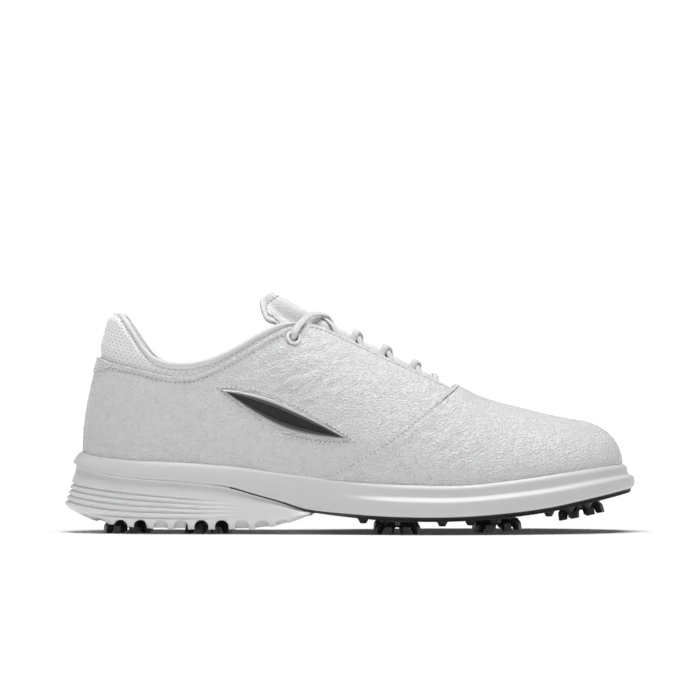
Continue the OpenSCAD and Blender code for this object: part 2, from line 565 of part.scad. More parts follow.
// The free ends are tucked down inside the shoe and lie along the sockliner's edge.
LACE_TAIL = [
    [5.65, 0.388, 6.6, 1], [5.65, 0.392, 8.4, 0.9], [5.66, 0.415, 9.9, 0.55], [5.69, 0.45, 10.4, 0.2],
    [5.73, 0.5, 9.6, 0], [5.78, 0.56, 8, -0.1], [5.84, 0.63, 6.7, 0], [5.92, 0.72, 6.2, 0],
    [6.02, 0.82, 6, 0], [6.13, 0.92, 6.1, 0], [6.27, 1.02, 6.4, 0], [6.45, 1.12, 6.8, 0],
    [6.7, 1.2, 7.2, 0], [7, 1.25, 7.6, 0], [7.35, 1.28, 7.8, 0], [7.75, 1.3, 7.8, 0],
    [8.15, 1.3, 7.8, 0], [8.5, 1.3, 7.8, 0]
];
function tail(side) = [for (c = LACE_TAIL) [c[0], side*c[1], c[2], c[3]]];
module lace_end_lateral() color(white) cord(tail(-1));
module lace_end_medial() color(white) cord(tail(1));
module aglet(side) {
    from = lace_place([8.52, side*1.3, 7.8]);
    to = lace_place([9.15, side*1.3, 8]);
    d = to - from;
    translate(from) rotate([0, acos(d.z/norm(d)), atan2(d.y, d.x)]) cylinder(r = 1.3, h = 20, $fn = 24);
}
module aglet_lateral() color(pale_grey) aglet(-1);
module aglet_medial() color(pale_grey) aglet(1);

// ---- sole ---------------------------------------------------------------------------

function floor_level(dz) = function(x, a) curve(FLOOR, bite(a).x) + dz;
bed_inset = 4 + inside + 0.4;      // the bed's outline inside the bite line

module lasting_board() color(foam_yellow) ring_loft([
    for (dz = [board_rise, board_rise + board_t]) ring(around(48), function(a) -bed_inset, floor_level(dz))
]);
liner_rise = board_rise + board_t + gap;
module sockliner() color(dark_grey) ring_loft([
    ring(around(48), function(a) -bed_inset, floor_level(liner_rise)),
    ring(around(48), function(a) -bed_inset + 1.2, floor_level(liner_rise + sockliner_t)),
    ring(around(48), function(a) -bed_inset - 7, floor_level(liner_rise + sockliner_t - 1))
]);

shank_at = [-75, 5];
shank_t = 1.2;
shank_w = 14;
// Places the shank's slope: +X runs forward along it, and its top face is at z = 0.
module on_shank() {
    rear = curve(FLOOR, shank_at[0]) - 0.8;
    front = curve(FLOOR, shank_at[1]) - 0.8;
    translate([shank_at[0] + centre.x, centre.y - 2, rear])
        rotate([0, atan2(rear - front, shank_at[1] - shank_at[0]), 0]) children();
}
module shank() color(dark_grey) on_shank()
    translate([0, -shank_w/2, -shank_t]) cube([shank_at[1] - shank_at[0], shank_w, shank_t]);

// Offset from the bite line of the midsole's wall, from its foot (f = 0) to its rim (1).
function wall_offset(a, f) =
    let (x = bite(a).x, plain = 1 + 2.6*(1 - f)^0.8 + 0.6*ease(-100, -140, x)*(1 - f),
         ridged = f > 0.62 ? 1 + 2.4*(1 - f)/0.38 : f > 0.45 ? mix(5.9, 3.4, (f - 0.45)/0.17)
             : 5.9 + 0.4*sin(180*f/0.45))
    mix(plain, ridged, ease(-15, 35, x));
function wall_height(f) = function(x, a) mix(curve(MIDSOLE_EDGE, x), bite(a).z, f);
function rim(depth, t) = [for (a = around(64)) skin(a, t, depth)];

module midsole() color(white) difference() {
    ring_loft([
        for (v = [BEND, 0.7, 0.8, 0.88, 0.96]) [for (a = around(64)) under(a, v, 0)],
        for (f = [0, 0.2, 0.45, 0.62, 0.85, 1])
            ring(around(64), function(a) wall_offset(a, f) - 0.01, wall_height(f)),
        rim(-0.3, 0), rim(-0.3, -0.45), rim(-0.3, -1)
    ]);
    on_shank() translate([-gap, -shank_w/2 - gap, -shank_t - gap])
        cube([shank_at[1] - shank_at[0] + 2*gap, shank_w + 2*gap, shank_t + 6]);
    on_cleats(FRONT_CLEATS) cylinder(r = collar_r + gap, h = socket_h + gap, $fn = 48);
}

// The stations of the sole's columns, the same for every sole part.
SOLE_COLUMNS = [for (i = [0:31]) 0.375*(i + 0.5)];
function keel_x(s) = s < 2.5 ? mix(-112, station(BITE, 2.5).x, s/2.5)
    : s > 9 ? mix(station(BITE, 9).x, 112, (s - 9)/3) : station(BITE, s).x;
// Point under the midsole: v is 1 at its edge, BEND at its core and 0 on the keel.
BEND = 0.6;
function under(a, v, drop) =
    let (o = outward(a), b = bite(a), e = b + o*wall_offset(a, 0), c = b - o*core_inset,
         k = [keel_x(half(a)), 0, curve(MIDSOLE_CORE, keel_x(half(a))) - drop],
         edge = [e.x, e.y, curve(MIDSOLE_EDGE, e.x) - drop],
         core = [c.x, c.y, curve(MIDSOLE_CORE, c.x) - drop])
    swing(v > BEND ? mix(core, edge, (v - BEND)/(1 - BEND)) : mix(k, core, v/BEND));

// Thickness of the black line: the plate's tail, then the whole plate.
function line_t(x) = 0.25 + (plate_t - 0.25)*ease(-60, 30, x);

plate_vs = [1, 0.96, 0.8, BEND, 0.3, 0];
function plate_low(s, v, side) =
    let (a = side*s, x = bite(a).x, p = under(a, v, bed_gap + line_t(x)), o = outward(a),
         tuck_in = v > 0.99 ? 2.2*ease(-20, 20, x) : 0,
         lift = v > 0.99 ? 0.8*ease(-20, 20, x) : 0)
    p - o*tuck_in + [0, 0, lift];
module forefoot_outsole() color(black) {
    columns = concat([plate_rear], [for (s = SOLE_COLUMNS) if (s > 4) s], [TOE]);
    difference() {
        union() {
            layer([for (s = columns) [for (q = both_sides(plate_vs)) under(q[1]*s, q[0], bed_gap)]],
                  [for (s = columns) [for (q = both_sides(plate_vs)) plate_low(s, q[0], q[1])]],
                  true);
            nubs();
        }
        on_cleats(FRONT_CLEATS) translate([0, 0, -3]) cylinder(r = socket_r + gap, h = 12, $fn = 48);
        on_cleats(FRONT_CLEATS) translate([0, 0, -3]) cylinder(r = cleat_r + 0.6, h = 3, $fn = 64);
    }
}
// Rows from the lateral edge over the keel to the medial edge.
function both_sides(vs) = concat([for (v = vs) [v, 1]],
                                 [for (i = [len(vs) - 2:-1:0]) [vs[i], -1]]);

// Small traction nubs near the plate's edge, as [station, inset]; negative is medial.
NUBS = [
    [6.2, 6], [7.6, 5], [8.1, 5], [8.5, 5], [9.6, 5], [10.1, 5], [10.6, 5],
    [-6.2, 6], [-7.6, 5], [-8.1, 5], [-8.5, 5], [-9.6, 5], [-10.1, 5], [-10.6, 5]
];
nub_h = 2.6;
module nubs() {
    for (q = NUBS) {
        b = bite(q[0]) - outward(q[0])*q[1];
        low = curve(MIDSOLE_EDGE, b.x) - bed_gap - line_t(b.x);
        translate(swing([b.x, b.y, low - nub_h])) cylinder(r1 = 1.7, r2 = 3, h = nub_h + 1, $fn = 24);
    }
}

function heel_drop(x) = bed_gap + (line_t(x) + 0.35)*ease(-76, -64, x);
rib_depth = 0.7;
// Lower face of the heel unit, from its rim (row 0) over the ribs, the lug band and the
// base to the keel.
function heel_low(a, row) =
    let (o = outward(a), b = bite(a), x = b.x, back = ease(-118, -141, x),
         rim_z = curve(MIDSOLE_EDGE, b.x + o.x*3) - heel_drop(x),
         high = curve(RIB_HIGH, x), low = curve(RIB_LOW, x), lug = curve(LUG_TIPS, x),
         valley = rib_depth*ease(-35, -95, x),
         rib_o = function(f) mix(mix(4.6, 6, back), mix(6, 9.8, back), f),
         lug_o = mix(2.6, -4.5, back),
         band = mix(3.6, 3.1, ease(-95, -110, x)),
         q = row == 0 ? [wall_offset(a, 0), rim_z]
           : row <= 7 ? [rib_o((row - 1)/6) - (row % 2 == 0 ? valley : 0), mix(high, low, (row - 1)/6)]
           : row == 8 ? [mix(5, 5.2, back), mix(low, lug, 0.5)]
           : row == 9 ? [lug_o, lug]
           : row == 10 ? [lug_o - band, lug]
           : [lug_o - band - 0.6, curve(HEEL_BASE, x)],
         p = b + o*q[0])
    swing(row == 12 ? [keel_x(half(a)), 0, curve(HEEL_BASE, keel_x(half(a)))] : [p.x, p.y, q[1]]);
heel_rows = [0:12];
// Upper face of the heel unit, row by row under the midsole.
heel_vs = [1, 0.97, 0.94, 0.91, 0.87, 0.83, 0.79, 0.75, 0.7, 0.66, BEND, 0.4, 0];
function rows_both_sides(n) = concat([for (i = [0:n]) [i, 1]], [for (i = [n - 1:-1:0]) [i, -1]]);

module heel_outsole() color(white) {
    columns = concat([heel_front], [for (i = [13:-1:0]) SOLE_COLUMNS[i]], [0]);
    difference() {
        layer([for (s = columns) [for (q = rows_both_sides(12)) heel_low(q[1]*s, q[0])]],
              [for (s = columns) [for (q = rows_both_sides(12))
                  under(q[1]*s, heel_vs[q[0]], heel_drop(bite(s).x))]],
              true);
        for (k = [0:9]) translate([-130 + scallop_pitch*k + centre.x, 0, 3.9])
            rotate([90, 0, 0]) cylinder(r = 3.6, h = 140, center = true, $fn = 32);
        on_cleats(REAR_CLEATS) translate([0, 0, -3]) cylinder(r = socket_r + gap, h = 12, $fn = 48);
        on_cleats(REAR_CLEATS) translate([0, 0, collar_z - gap])
            cylinder(r = collar_r + gap, h = 3, $fn = 48);
    }
}

// ---- cleats -------------------------------------------------------------------------

// A cleat's seat: level ground contact for the first six, along the plate for the others.
function seat_z(i) = i < 6 ? cleat_h : curve(MIDSOLE_EDGE, CLEATS[i][0]) - bed_gap - plate_t - 0.1;
module on_cleat(i) {
    c = CLEATS[i];
    translate([c[0] + centre.x, c[1] + curve(SWING, c[0]) + centre.y, seat_z(i)])
        rotate([0, c[2], 0]) children();
}
module on_cleats(which) {
    for (i = which) on_cleat(i) children();
}

// Three equal sectors of a ring's height range, for the ears and their entry slots.
module sectors(r, z0, z1, angle, turn) {
    for (k = [0:2]) rotate([0, 0, turn + 120*k]) translate([0, 0, z0])
        rotate_extrude(angle = angle, $fn = 72) square([r, z1 - z0]);
}

// Quarter-turn receptacle moulded into the sole; its mouth is at z = 0.
module cleat_socket(i) color(dark_grey) on_cleat(i) difference() {
    union() {
        cylinder(r = socket_r, h = socket_h, $fn = 64);
        translate([0, 0, collar_z]) cylinder(r = collar_r, h = socket_h - collar_z, $fn = 64);
    }
    translate([0, 0, -1]) cylinder(r = pin_r + pin_gap, h = ear_z[1] + 1.2, $fn = 64);
    translate([0, 0, ear_z[0] - 0.1])
        cylinder(r = ear_r + 0.15, h = ear_z[1] - ear_z[0] + 0.3, $fn = 64);
    sectors(ear_r + 0.15, -1, ear_z[1], ear_angle + 6, 60 - 3);
}

leg_w = 4;
module cleat(i) color(black) on_cleat(i) {
    difference() {
        union() {
            translate([0, 0, -2.2]) cylinder(r = 8.6, h = 2.1, $fn = 64);
            translate([0, 0, -3.4]) cylinder(r1 = 3.4, r2 = 4.6, h = 1.3, $fn = 48);
            translate([0, 0, -0.2]) cylinder(r = pin_r, h = ear_z[1] + 0.2, $fn = 64);
            sectors(ear_r, ear_z[0], ear_z[1], ear_angle, 0);
            for (k = [0:cleat_legs - 1]) rotate([0, 0, 360*(k + 0.5)/cleat_legs])
                rotate([90, 0, 0]) translate([0, 0, -leg_w/2]) linear_extrude(leg_w)
                polygon([
                    [6.5, -0.4], [10.4, -0.6], [cleat_r - 0.3, -3], [cleat_r, -cleat_h],
                    [cleat_r - 2.8, -cleat_h], [8.8, -4.6], [6.5, -2.2]
                ]);
        }
        for (k = [0:2]) rotate([0, 0, 120*k + 60]) translate([6.2, 0, -3])
            cylinder(r = 1, h = 2, $fn = 24);
    }
}

// ---- drawing ------------------------------------------------------------------------

vamp();
quarter_lateral();
quarter_medial();
heel_patch();
collar_panel();
topline_roll();
collar_foam();
quarter_lining();
vamp_lining();
heel_counter();
toe_puff();
eyestay_lateral();
eyestay_medial();
tongue();
tongue_lining();
badge_backing_lateral();
badge_backing_medial();
badge_inlay_lateral();
badge_inlay_medial();
eyelet_ring_lateral();
eyelet_ring_medial();
lace_loops();
lace();
lace_end_lateral();
lace_end_medial();
aglet_lateral();
aglet_medial();
sockliner();
lasting_board();
shank();
midsole();
heel_outsole();
forefoot_outsole();
for (i = [1:9]) cleat_socket(i - 1);
for (i = [1:9]) cleat(i - 1);
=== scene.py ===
import math

import bmesh
import bpy
import numpy as np
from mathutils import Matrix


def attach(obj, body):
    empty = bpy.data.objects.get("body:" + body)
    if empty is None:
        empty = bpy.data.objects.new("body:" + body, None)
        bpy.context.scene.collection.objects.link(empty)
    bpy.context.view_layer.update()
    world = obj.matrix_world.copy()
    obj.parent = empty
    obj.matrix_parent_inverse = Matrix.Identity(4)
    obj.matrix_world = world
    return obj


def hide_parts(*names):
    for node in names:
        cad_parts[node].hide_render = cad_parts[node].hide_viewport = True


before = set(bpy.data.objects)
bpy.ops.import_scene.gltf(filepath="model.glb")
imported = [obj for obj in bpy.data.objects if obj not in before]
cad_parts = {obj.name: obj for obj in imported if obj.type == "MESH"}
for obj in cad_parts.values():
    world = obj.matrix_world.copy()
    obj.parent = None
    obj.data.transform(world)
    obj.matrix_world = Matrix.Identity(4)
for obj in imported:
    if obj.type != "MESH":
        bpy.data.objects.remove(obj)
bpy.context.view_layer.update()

MM = 0.001

# ---- the shoe's surface, in millimetres: the same stations and curves as the CAD -------

TOE = 12
CORNER = 5
CENTRE = np.array([0.1, -0.13, 0.0])
FLIP = np.array([1.0, -1.0, 1.0])
BITE = np.array([
    [-141.3, 0, 42.6], [-133.5, -19.5, 40.4], [-113, -31.5, 38.4], [-86, -34.5, 37.2],
    [-58, -35, 34.9], [-30, -37, 30.9], [0, -43, 27.4], [30, -48.5, 25.8], [60, -50, 25.6],
    [90, -46.5, 28.7], [115, -38.5, 32.2], [134, -24.5, 34.8], [145, 0, 35.6]])
RISE = np.array([
    [-0.7, 0, 27], [-1, -1.5, 28], [0, -3.5, 28], [0, -3.5, 28], [1, -4.5, 29], [0, -5, 31],
    [0, -4, 28], [0, -2.5, 22], [0, -2, 19], [0, -2, 15], [0.5, -2, 13], [0.5, -1.5, 12],
    [-0.4, 0, 14]])
TOP = np.array([
    [-118.8, 0, 147], [-112, -17, 147], [-97, -26, 147], [-80, -26, 147], [-68, -16, 146],
    [-62, 0, 145], [-30, 0, 123.2], [3, 0, 105.2], [38, 0, 87.6], [68, 0, 72.5],
    [90, 0, 66], [108, 0, 61.6], [120, 0, 59.5]])
FALL = np.array([
    [-11.5, 0, -50], [-11, 2, -46], [-7, 1, -42], [-6, -1, -40], [-2, -8, -33],
    [4, -19, -8], [4, -22, -4], [2, -23, -1], [1, -25, 0.5], [1, -26, 0], [3, -23, 0],
    [9, -15.5, -1], [14, 0, -1.8]])
TOPLINE = np.array([
    [-132, 115.2], [-125, 116.6], [-121, 115.6], [-116, 110], [-106, 96], [-99, 91.4],
    [-90, 89.8], [-80, 90.4], [-69, 93.7], [-58, 99.3], [-47, 105.9], [-37, 110.4],
    [-25, 112]])
QUARTER_TOP = np.array([
    [-134, 93], [-126, 89.8], [-106, 85], [-97, 82.8], [-88, 82], [-80, 82.9], [-69, 87.4],
    [-58, 93.2], [-47, 99.7], [-36, 105.8], [-27, 110], [-18, 109.6], [-5, 104.2],
    [20, 92.2], [40, 83.2], [54, 76.2]])
LINING_TOP = np.array([
    [-132, 113], [-125, 114.4], [-121, 113.4], [-116, 107.8], [-106, 93.8], [-99, 89.4],
    [-90, 87.8], [-80, 88.4], [-69, 91.7], [-58, 97.3], [-47, 103.9], [-37, 108.2],
    [-27, 109.5], [-18, 109.2], [-5, 103.8], [20, 91.8], [40, 82.8], [54, 75.8]])
SEAM = np.array([[26.5, -16], [28.8, -13.6], [37.8, 2], [49.2, 20.4], [64.6, 39.7], [77, 54.2]])
FLOOR = np.array([
    [-146, 24], [-110, 22.9], [-60, 20.8], [-20, 16.4], [20, 14], [60, 14.6], [90, 17.6],
    [120, 23], [146, 29]])
MIDSOLE_EDGE = np.array([
    [-145, 36], [-126, 31.3], [-106, 29], [-86, 27.5], [-63, 24.9], [-52, 21.8],
    [-35, 17.1], [-22, 13.2], [2, 10.7], [25, 9.4], [54, 9.3], [80, 11], [104, 14],
    [128, 18.9], [151, 23.8]])
MIDSOLE_CORE = np.array([
    [-146, 13.4], [-110, 12.5], [-60, 12.4], [-22, 12.2], [2, 10.7], [25, 9.4], [54, 9.3],
    [80, 11], [104, 14], [128, 18.9], [151, 23.8]])
HEEL_BASE = np.array([[-146, 7.5], [-42, 7.5], [-32, 8.3], [-24, 9.3], [-16, 10.2]])
RIB_HIGH = np.array([
    [-150, 27.6], [-133, 23.8], [-110, 20.8], [-79, 17.9], [-58, 16], [-40, 13.9],
    [-28, 12.2], [-20, 11.4]])
RIB_LOW = np.array([
    [-150, 17.5], [-133, 11.4], [-115, 9.2], [-99, 8.8], [-59, 8.6], [-40, 8.7],
    [-28, 9.6], [-20, 10.7]])
LUG_TIPS = np.array([
    [-150, 7.8], [-133, 5.8], [-119, 4.2], [-100, 2.8], [-55, 2.6], [-38, 4.2], [-28, 7.2],
    [-21, 10], [-16, 11]])
SWING = np.array([[-150, 0], [-90, -1], [-20, -2.5], [40, -1], [90, 3], [150, 6.5]])


def hermite(a, b, ta, tb, f):
    return ((2*f**3 - 3*f**2 + 1)*a + (f**3 - 2*f**2 + f)*ta
            + (3*f**2 - 2*f**3)*b + (f**3 - f**2)*tb)


def ease(low, high, x):
    f = np.clip((x - low)/(high - low), 0, 1)
    return f*f*(3 - 2*f)


def mix(a, b, f):
    return a + (b - a)*f


def unit(v):
    return v/np.linalg.norm(v, axis=-1, keepdims=True)


def between_rows(before, a, b, after, f):
    return hermite(a, b, (b - before)/2, (after - a)/2, f[..., None])


def station(table, s, corner=False):
    """Smooth value of a 13-row table at stations s, mirrored past the heel and the toe.

    The top boundary has a corner where the ankle opening meets the instep ridge.
    """
    i = np.clip(np.floor(s).astype(int), 0, TOE - 1)
    rows = np.vstack([table[1]*FLIP, table, table[TOE - 1]*(1 if corner else FLIP)])
    before, a, b, after = (rows[i + k] for k in range(4))
    if corner:
        before = np.where((i == CORNER)[..., None], 2*a - b, before)
        after = np.where((i == CORNER - 1)[..., None], 2*b - a, after)
    return between_rows(before, a, b, after, s - i)


def curve(points, x):
    """Smooth value of a list of (x, value) points, straight beyond its ends."""
    x = np.asarray(x, float)
    xs, ys = points[:, 0], points[:, 1]
    last = len(xs) - 1
    low, high = np.maximum(np.arange(last + 1) - 1, 0), np.minimum(np.arange(last + 1) + 1, last)
    slopes = (ys[high] - ys[low])/(xs[high] - xs[low])
    i = np.clip(np.searchsorted(xs, x, side="right") - 1, 0, last - 1)
    w = xs[i + 1] - xs[i]
    y = hermite(ys[i], ys[i + 1], slopes[i]*w, slopes[i + 1]*w, (x - xs[i])/w)
    y = np.where(x <= xs[0], ys[0] + (x - xs[0])*slopes[0], y)
    return np.where(x >= xs[last], ys[last] + (x - xs[last])*slopes[last], y)


def half(a):
    return np.where(a > TOE, 2*TOE - a, np.abs(a))


def to_side(a, p):
    """Stations 0 to 12 are lateral; those below 0 and above 12 are medial."""
    return np.where(((a >= 0) & (a <= TOE))[..., None], p, p*FLIP)


def outward_of(s):
    d = station(BITE, np.minimum(s + 0.01, TOE)) - station(BITE, np.maximum(s - 0.01, 0))
    n = np.stack([d[..., 1], -d[..., 0], np.zeros_like(s)], -1)
    n = np.where((s > TOE - 0.01)[..., None], [1.0, 0, 0], n)
    return unit(np.where((s < 0.01)[..., None], [-1.0, 0, 0], n))


def outward(a):
    return to_side(a, outward_of(half(a)))


def bite(a):
    return to_side(a, station(BITE, half(a)))


def side_point(s, t):
    """A rib's point: t is 0 on the bite line, 1 on the ridge and -1 on the lasting board."""
    b, e = station(BITE, s), station(TOP, s, corner=True)
    r, f = b + station(RISE, s), e + station(FALL, s)
    u = np.clip(t, 0, None)[..., None]
    up = (1 - u)**3*b + 3*(1 - u)**2*u*r + 3*(1 - u)*u**2*f + u**3*e
    k = np.clip(t, None, 0)
    down = b - outward_of(s)*(4*k*k)[..., None]
    down[..., 2] += k*(b[..., 2] - curve(FLOOR, b[..., 0]))
    return np.where((t >= 0)[..., None], up, down)


def shell_at(a, t):
    return to_side(a, side_point(half(a), t))


def normal(a, t):
    h, s = 0.02, half(a)
    t0 = np.where(t < 0, np.maximum(t - h, -1.4), np.maximum(t - h, 0))
    t1 = np.where(t < 0, np.minimum(t + h, 0), np.minimum(t + h, 1))
    up = side_point(s, t1) - side_point(s, t0)
    ahead = side_point(np.minimum(s + h, TOE), t) - side_point(np.maximum(s - h, 0), t)
    ahead = np.where((s < 0.001)[..., None], [0, -1.0, 0], ahead)
    ahead = np.where((s > TOE - 0.001)[..., None], [0, 1.0, 0], ahead)
    n = np.cross(ahead, up)
    n[..., 1] = np.where((t > 0.999) & (s >= CORNER), 0, n[..., 1])
    return to_side(a, unit(n))


def swing(p):
    """Bends the symmetric shape: inward towards the toe, and narrower at the inner arch."""
    x, y, z = p[..., 0], p[..., 1], p[..., 2]
    arch = np.where(y > 0, 0.11*np.exp(-((x + 28)/38)**2), 0)
    return np.stack([x, y*(1 - arch) + curve(SWING, x), z], -1) + CENTRE


def arrays(*values):
    return np.broadcast_arrays(*[np.asarray(v, float) for v in values])


def skin(a, t, depth):
    a, t, depth = arrays(a, t, depth)
    return swing(shell_at(a, t) - normal(a, t)*depth[..., None])


def rise_at(a, t):
    """Unit vector up a rib."""
    return unit(skin(a, np.asarray(t) + 0.01, 0) - skin(a, np.asarray(t) - 0.01, 0))


def bisect(low, high, below, rounds=20):
    for _ in range(rounds):
        middle = (low + high)/2
        short = below(middle)
        low, high = np.where(short, middle, low), np.where(short, high, middle)
    return (low + high)/2


def meeting(station_at, line, lift):
    """Height at which columns of stations meet a side-view curve raised by lift."""
    def below(t):
        p = shell_at(station_at(t), t)
        return p[..., 2] - lift < curve(line, p[..., 0])
    return bisect(np.zeros_like(lift), np.ones_like(lift), below)


def crossing(a, line, lift=0.0):
    """Height on the ribs at stations a where they cross a side-view curve."""
    a, lift = arrays(a, lift)
    return meeting(lambda t: a, line, lift)


SEAM_T = np.linspace(0, 1, 81)
SEAM_A = bisect(np.full(81, 5.0), np.full(81, 9.5),
                lambda a: shell_at(a, SEAM_T)[..., 0] < curve(SEAM, shell_at(a, SEAM_T)[..., 2]))


def seam(t):
    """Station of the seam between vamp and quarter at height t."""
    return np.interp(t, SEAM_T, SEAM_A)


def column_top(share, line, reach=0.0):
    """Height where the column at a share of the way from heel to seam meets a curve."""
    share = np.asarray(share, float)
    return meeting(lambda t: share*(seam(t) + reach), line, np.zeros_like(share))


# ---- smooth noise ----------------------------------------------------------------------

LATTICE = np.random.default_rng(7).random((64, 64, 64))


def noise(x, y, z):
    """Smooth random value from -1 to 1, one lattice cell per unit."""
    x, y, z = arrays(x, y, z)
    i, j, k = (np.floor(v).astype(int) for v in (x, y, z))
    fx, fy, fz = (ease(0, 1, v - n) for v, n in ((x, i), (y, j), (z, k)))
    total = 0
    for dx, wx in ((0, 1 - fx), (1, fx)):
        for dy, wy in ((0, 1 - fy), (1, fy)):
            for dz, wz in ((0, 1 - fz), (1, fz)):
                total = total + wx*wy*wz*LATTICE[(i + dx) % 64, (j + dy) % 64, (k + dz) % 64]
    return 2*total - 1


# ---- meshes ----------------------------------------------------------------------------

def new_object(name, points, faces, material, slot, body="shoe", uv=None, sharp=45, merge=0.0):
    """A mesh object from points in millimetres, closed faces and per-point UVs in millimetres."""
    faces = [f for f in faces if len(set(f)) == len(f)]
    used = np.unique(np.concatenate([np.asarray(f) for f in faces]))
    renumber = np.full(len(points), -1)
    renumber[used] = np.arange(len(used))
    mesh = bpy.data.meshes.new(name)
    mesh.from_pydata((points[used]*MM).tolist(), [], [[int(renumber[v]) for v in f] for f in faces])
    if uv is not None:
        corners = np.zeros(len(mesh.loops), int)
        mesh.loops.foreach_get("vertex_index", corners)
        layer = mesh.uv_layers.new(name="surface_mm")
        layer.data.foreach_set("uv", uv[used][corners].astype(np.float32).ravel())
    work = bmesh.new()
    work.from_mesh(mesh)
    if merge:
        bmesh.ops.remove_doubles(work, verts=work.verts, dist=merge*MM)
    bmesh.ops.recalc_face_normals(work, faces=work.faces)
    work.to_mesh(mesh)
    work.free()
    mesh.shade_smooth()
    mesh.set_sharp_from_angle(angle=math.radians(sharp))
    mesh.materials.append(material)
    obj = placed(name, mesh)
    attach(obj, body)
    return obj


def placed(name, data, location=(0, 0, 0), turn=0.0):
    """An object with some data in the scene, turned about the x axis."""
    obj = bpy.data.objects.new(name, data)
    obj.location = location
    obj.rotation_euler = (turn, 0, 0)
    bpy.context.scene.collection.objects.link(obj)
    return obj


def quads(ids):
    """Quads between the neighbours of a grid of point numbers."""
    return np.stack([ids[:-1, :-1], ids[:-1, 1:], ids[1:, 1:], ids[1:, :-1]], -1).reshape(-1, 4)


def circle(count, x, y):
    """Points of unit circles, each in the plane of a pair of axes."""
    turn = 2*np.pi*np.arange(count)/count
    return np.cos(turn)[:, None]*x[..., None, :] + np.sin(turn)[:, None]*y[..., None, :]


def ring_faces(rings, count, caps=True):
    """Faces of a tube through rings of count points each, closed by a face at each end."""
    ids = np.arange(rings*count).reshape(rings, count)
    faces = quads(np.concatenate([ids, ids[:, :1]], 1)).tolist()
    return faces + [ids[0].tolist(), ids[-1][::-1].tolist()] if caps else faces


def repeated(faces, size, count):
    """The same faces on count copies of size points."""
    return [[v + k*size for v in f] for k in range(count) for f in faces]


def along(points, axis):
    """Distances in millimetres along a grid's lines, from their start."""
    steps = np.linalg.norm(np.diff(points, axis=axis), axis=-1)
    start = np.zeros_like(np.take(steps, [0], axis=axis))
    return np.concatenate([start, np.cumsum(steps, axis=axis)], axis=axis)


def line_run(line):
    return along(line[:, None], 0)[:, 0]


def sheet_faces(n, m, folded=False, open_cells=None):
    """Faces of a closed sheet whose two sides are n by m grids of points.

    A folded sheet is sewn to itself along its last row; open cells leave a hole.
    """
    ids = np.arange(n*m).reshape(n, m)
    if folded:
        ids[-1] = np.minimum(ids[-1], ids[-1][::-1])
    side = quads(ids) if open_cells is None else quads(ids)[~open_cells.ravel()]
    edges = np.stack([side, np.roll(side, -1, 1)], -1).reshape(-1, 2).tolist()
    met = {(q, p) for p, q in edges}
    walls = [[q, p, p + n*m, q + n*m] for p, q in edges if (p, q) not in met and p != q]
    return side.tolist() + (side[:, ::-1] + n*m).tolist() + walls


FINE = np.array([0, 0.05, 0.14, 0.28, 0.5, 0.9, 1.3, 1.7, 2.1, 2.5, 3, 3.6, 4.4, 5.4])
PLAIN = np.array([0.0])


def shares(length, low, high, count):
    """Shares of a length: fixed steps in millimetres at both ends and even ones between."""
    length = np.asarray(length, float)[..., None]
    fit = np.minimum(1, 0.4*length/max(low[-1], high[-1], 0.001))
    start, end = low*fit/length, 1 - high[::-1]*fit/length
    inner = mix(start[..., -1:], end[..., :1], np.arange(1, count)/count)
    return np.concatenate([start, inner, end], -1)


class Grid:
    """Points of a panel of the upper, dense near the borders that ask for it."""

    def __init__(self, place, u_range, v_range, counts, u_ends=(PLAIN, PLAIN),
                 v_ends=(PLAIN, PLAIN)):
        coarse_u, coarse_v = np.meshgrid(np.linspace(*u_range, 33), np.linspace(*v_range, 33),
                                         indexing="ij")
        rough = swing(shell_at(*place(coarse_u, coarse_v)))
        across, up = along(rough, 0)[-1], along(rough, 1)[:, -1]
        rows = shares(np.median(up), *v_ends, counts[1])
        u = shares(np.interp(rows, np.linspace(0, 1, 33), across), *u_ends, counts[0]).T
        v = shares(np.interp(u.mean(1), np.linspace(0, 1, 33), up), *v_ends, counts[1])
        self.u, self.v = mix(*u_range, u), mix(*v_range, v)
        self.a, self.t = arrays(*place(self.u, self.v))
        self.base, self.n = shell_at(self.a, self.t), normal(self.a, self.t)
        self.p = swing(self.base)
        self.start, self.low = along(self.p, 0), along(self.p, 1)
        self.end, self.high = self.start[-1:] - self.start, self.low[:, -1:] - self.low
        self.uv = np.stack([self.start, self.low], -1)

    def at(self, depth):
        return swing(self.base - self.n*np.broadcast_to(depth, self.a.shape)[..., None])

    def sheet(self, name, outer, inner, material, slot, **kw):
        """The closed sheet between two depths below the upper's outer surface."""
        folded, hole = kw.pop("folded", False), kw.pop("hole", None)
        open_cells = None
        points = [self.at(outer), self.at(inner)]
        if hole is not None:
            open_cells = self.cut(points, *hole)
        n, m = self.a.shape
        both = np.concatenate([p.reshape(-1, 3) for p in points])
        uv = np.concatenate([self.uv.reshape(-1, 2)]*2)
        return new_object(name, both, sheet_faces(n, m, folded, open_cells), material, slot,
                          uv=uv, **kw)

    def cut(self, points, centre, axis, radius):
        """Opens a round hole: marks the cells inside it and moves their rim onto the circle."""
        away = self.p - centre
        away = away - (away @ axis)[..., None]*axis
        inside = np.linalg.norm(away, axis=-1) < radius
        cells = inside[:-1, :-1] | inside[1:, :-1] | inside[:-1, 1:] | inside[1:, 1:]
        touched = np.zeros(inside.shape, bool)
        for di in (0, 1):
            for dj in (0, 1):
                touched[di:di + cells.shape[0], dj:dj + cells.shape[1]] |= cells
        rim = touched & ~inside
        for p in points:
            off = p[rim] - centre
            height = (off @ axis)[:, None]*axis
            p[rim] = centre + height + unit(off - height)*radius
        return cells


# ---- materials -------------------------------------------------------------------------

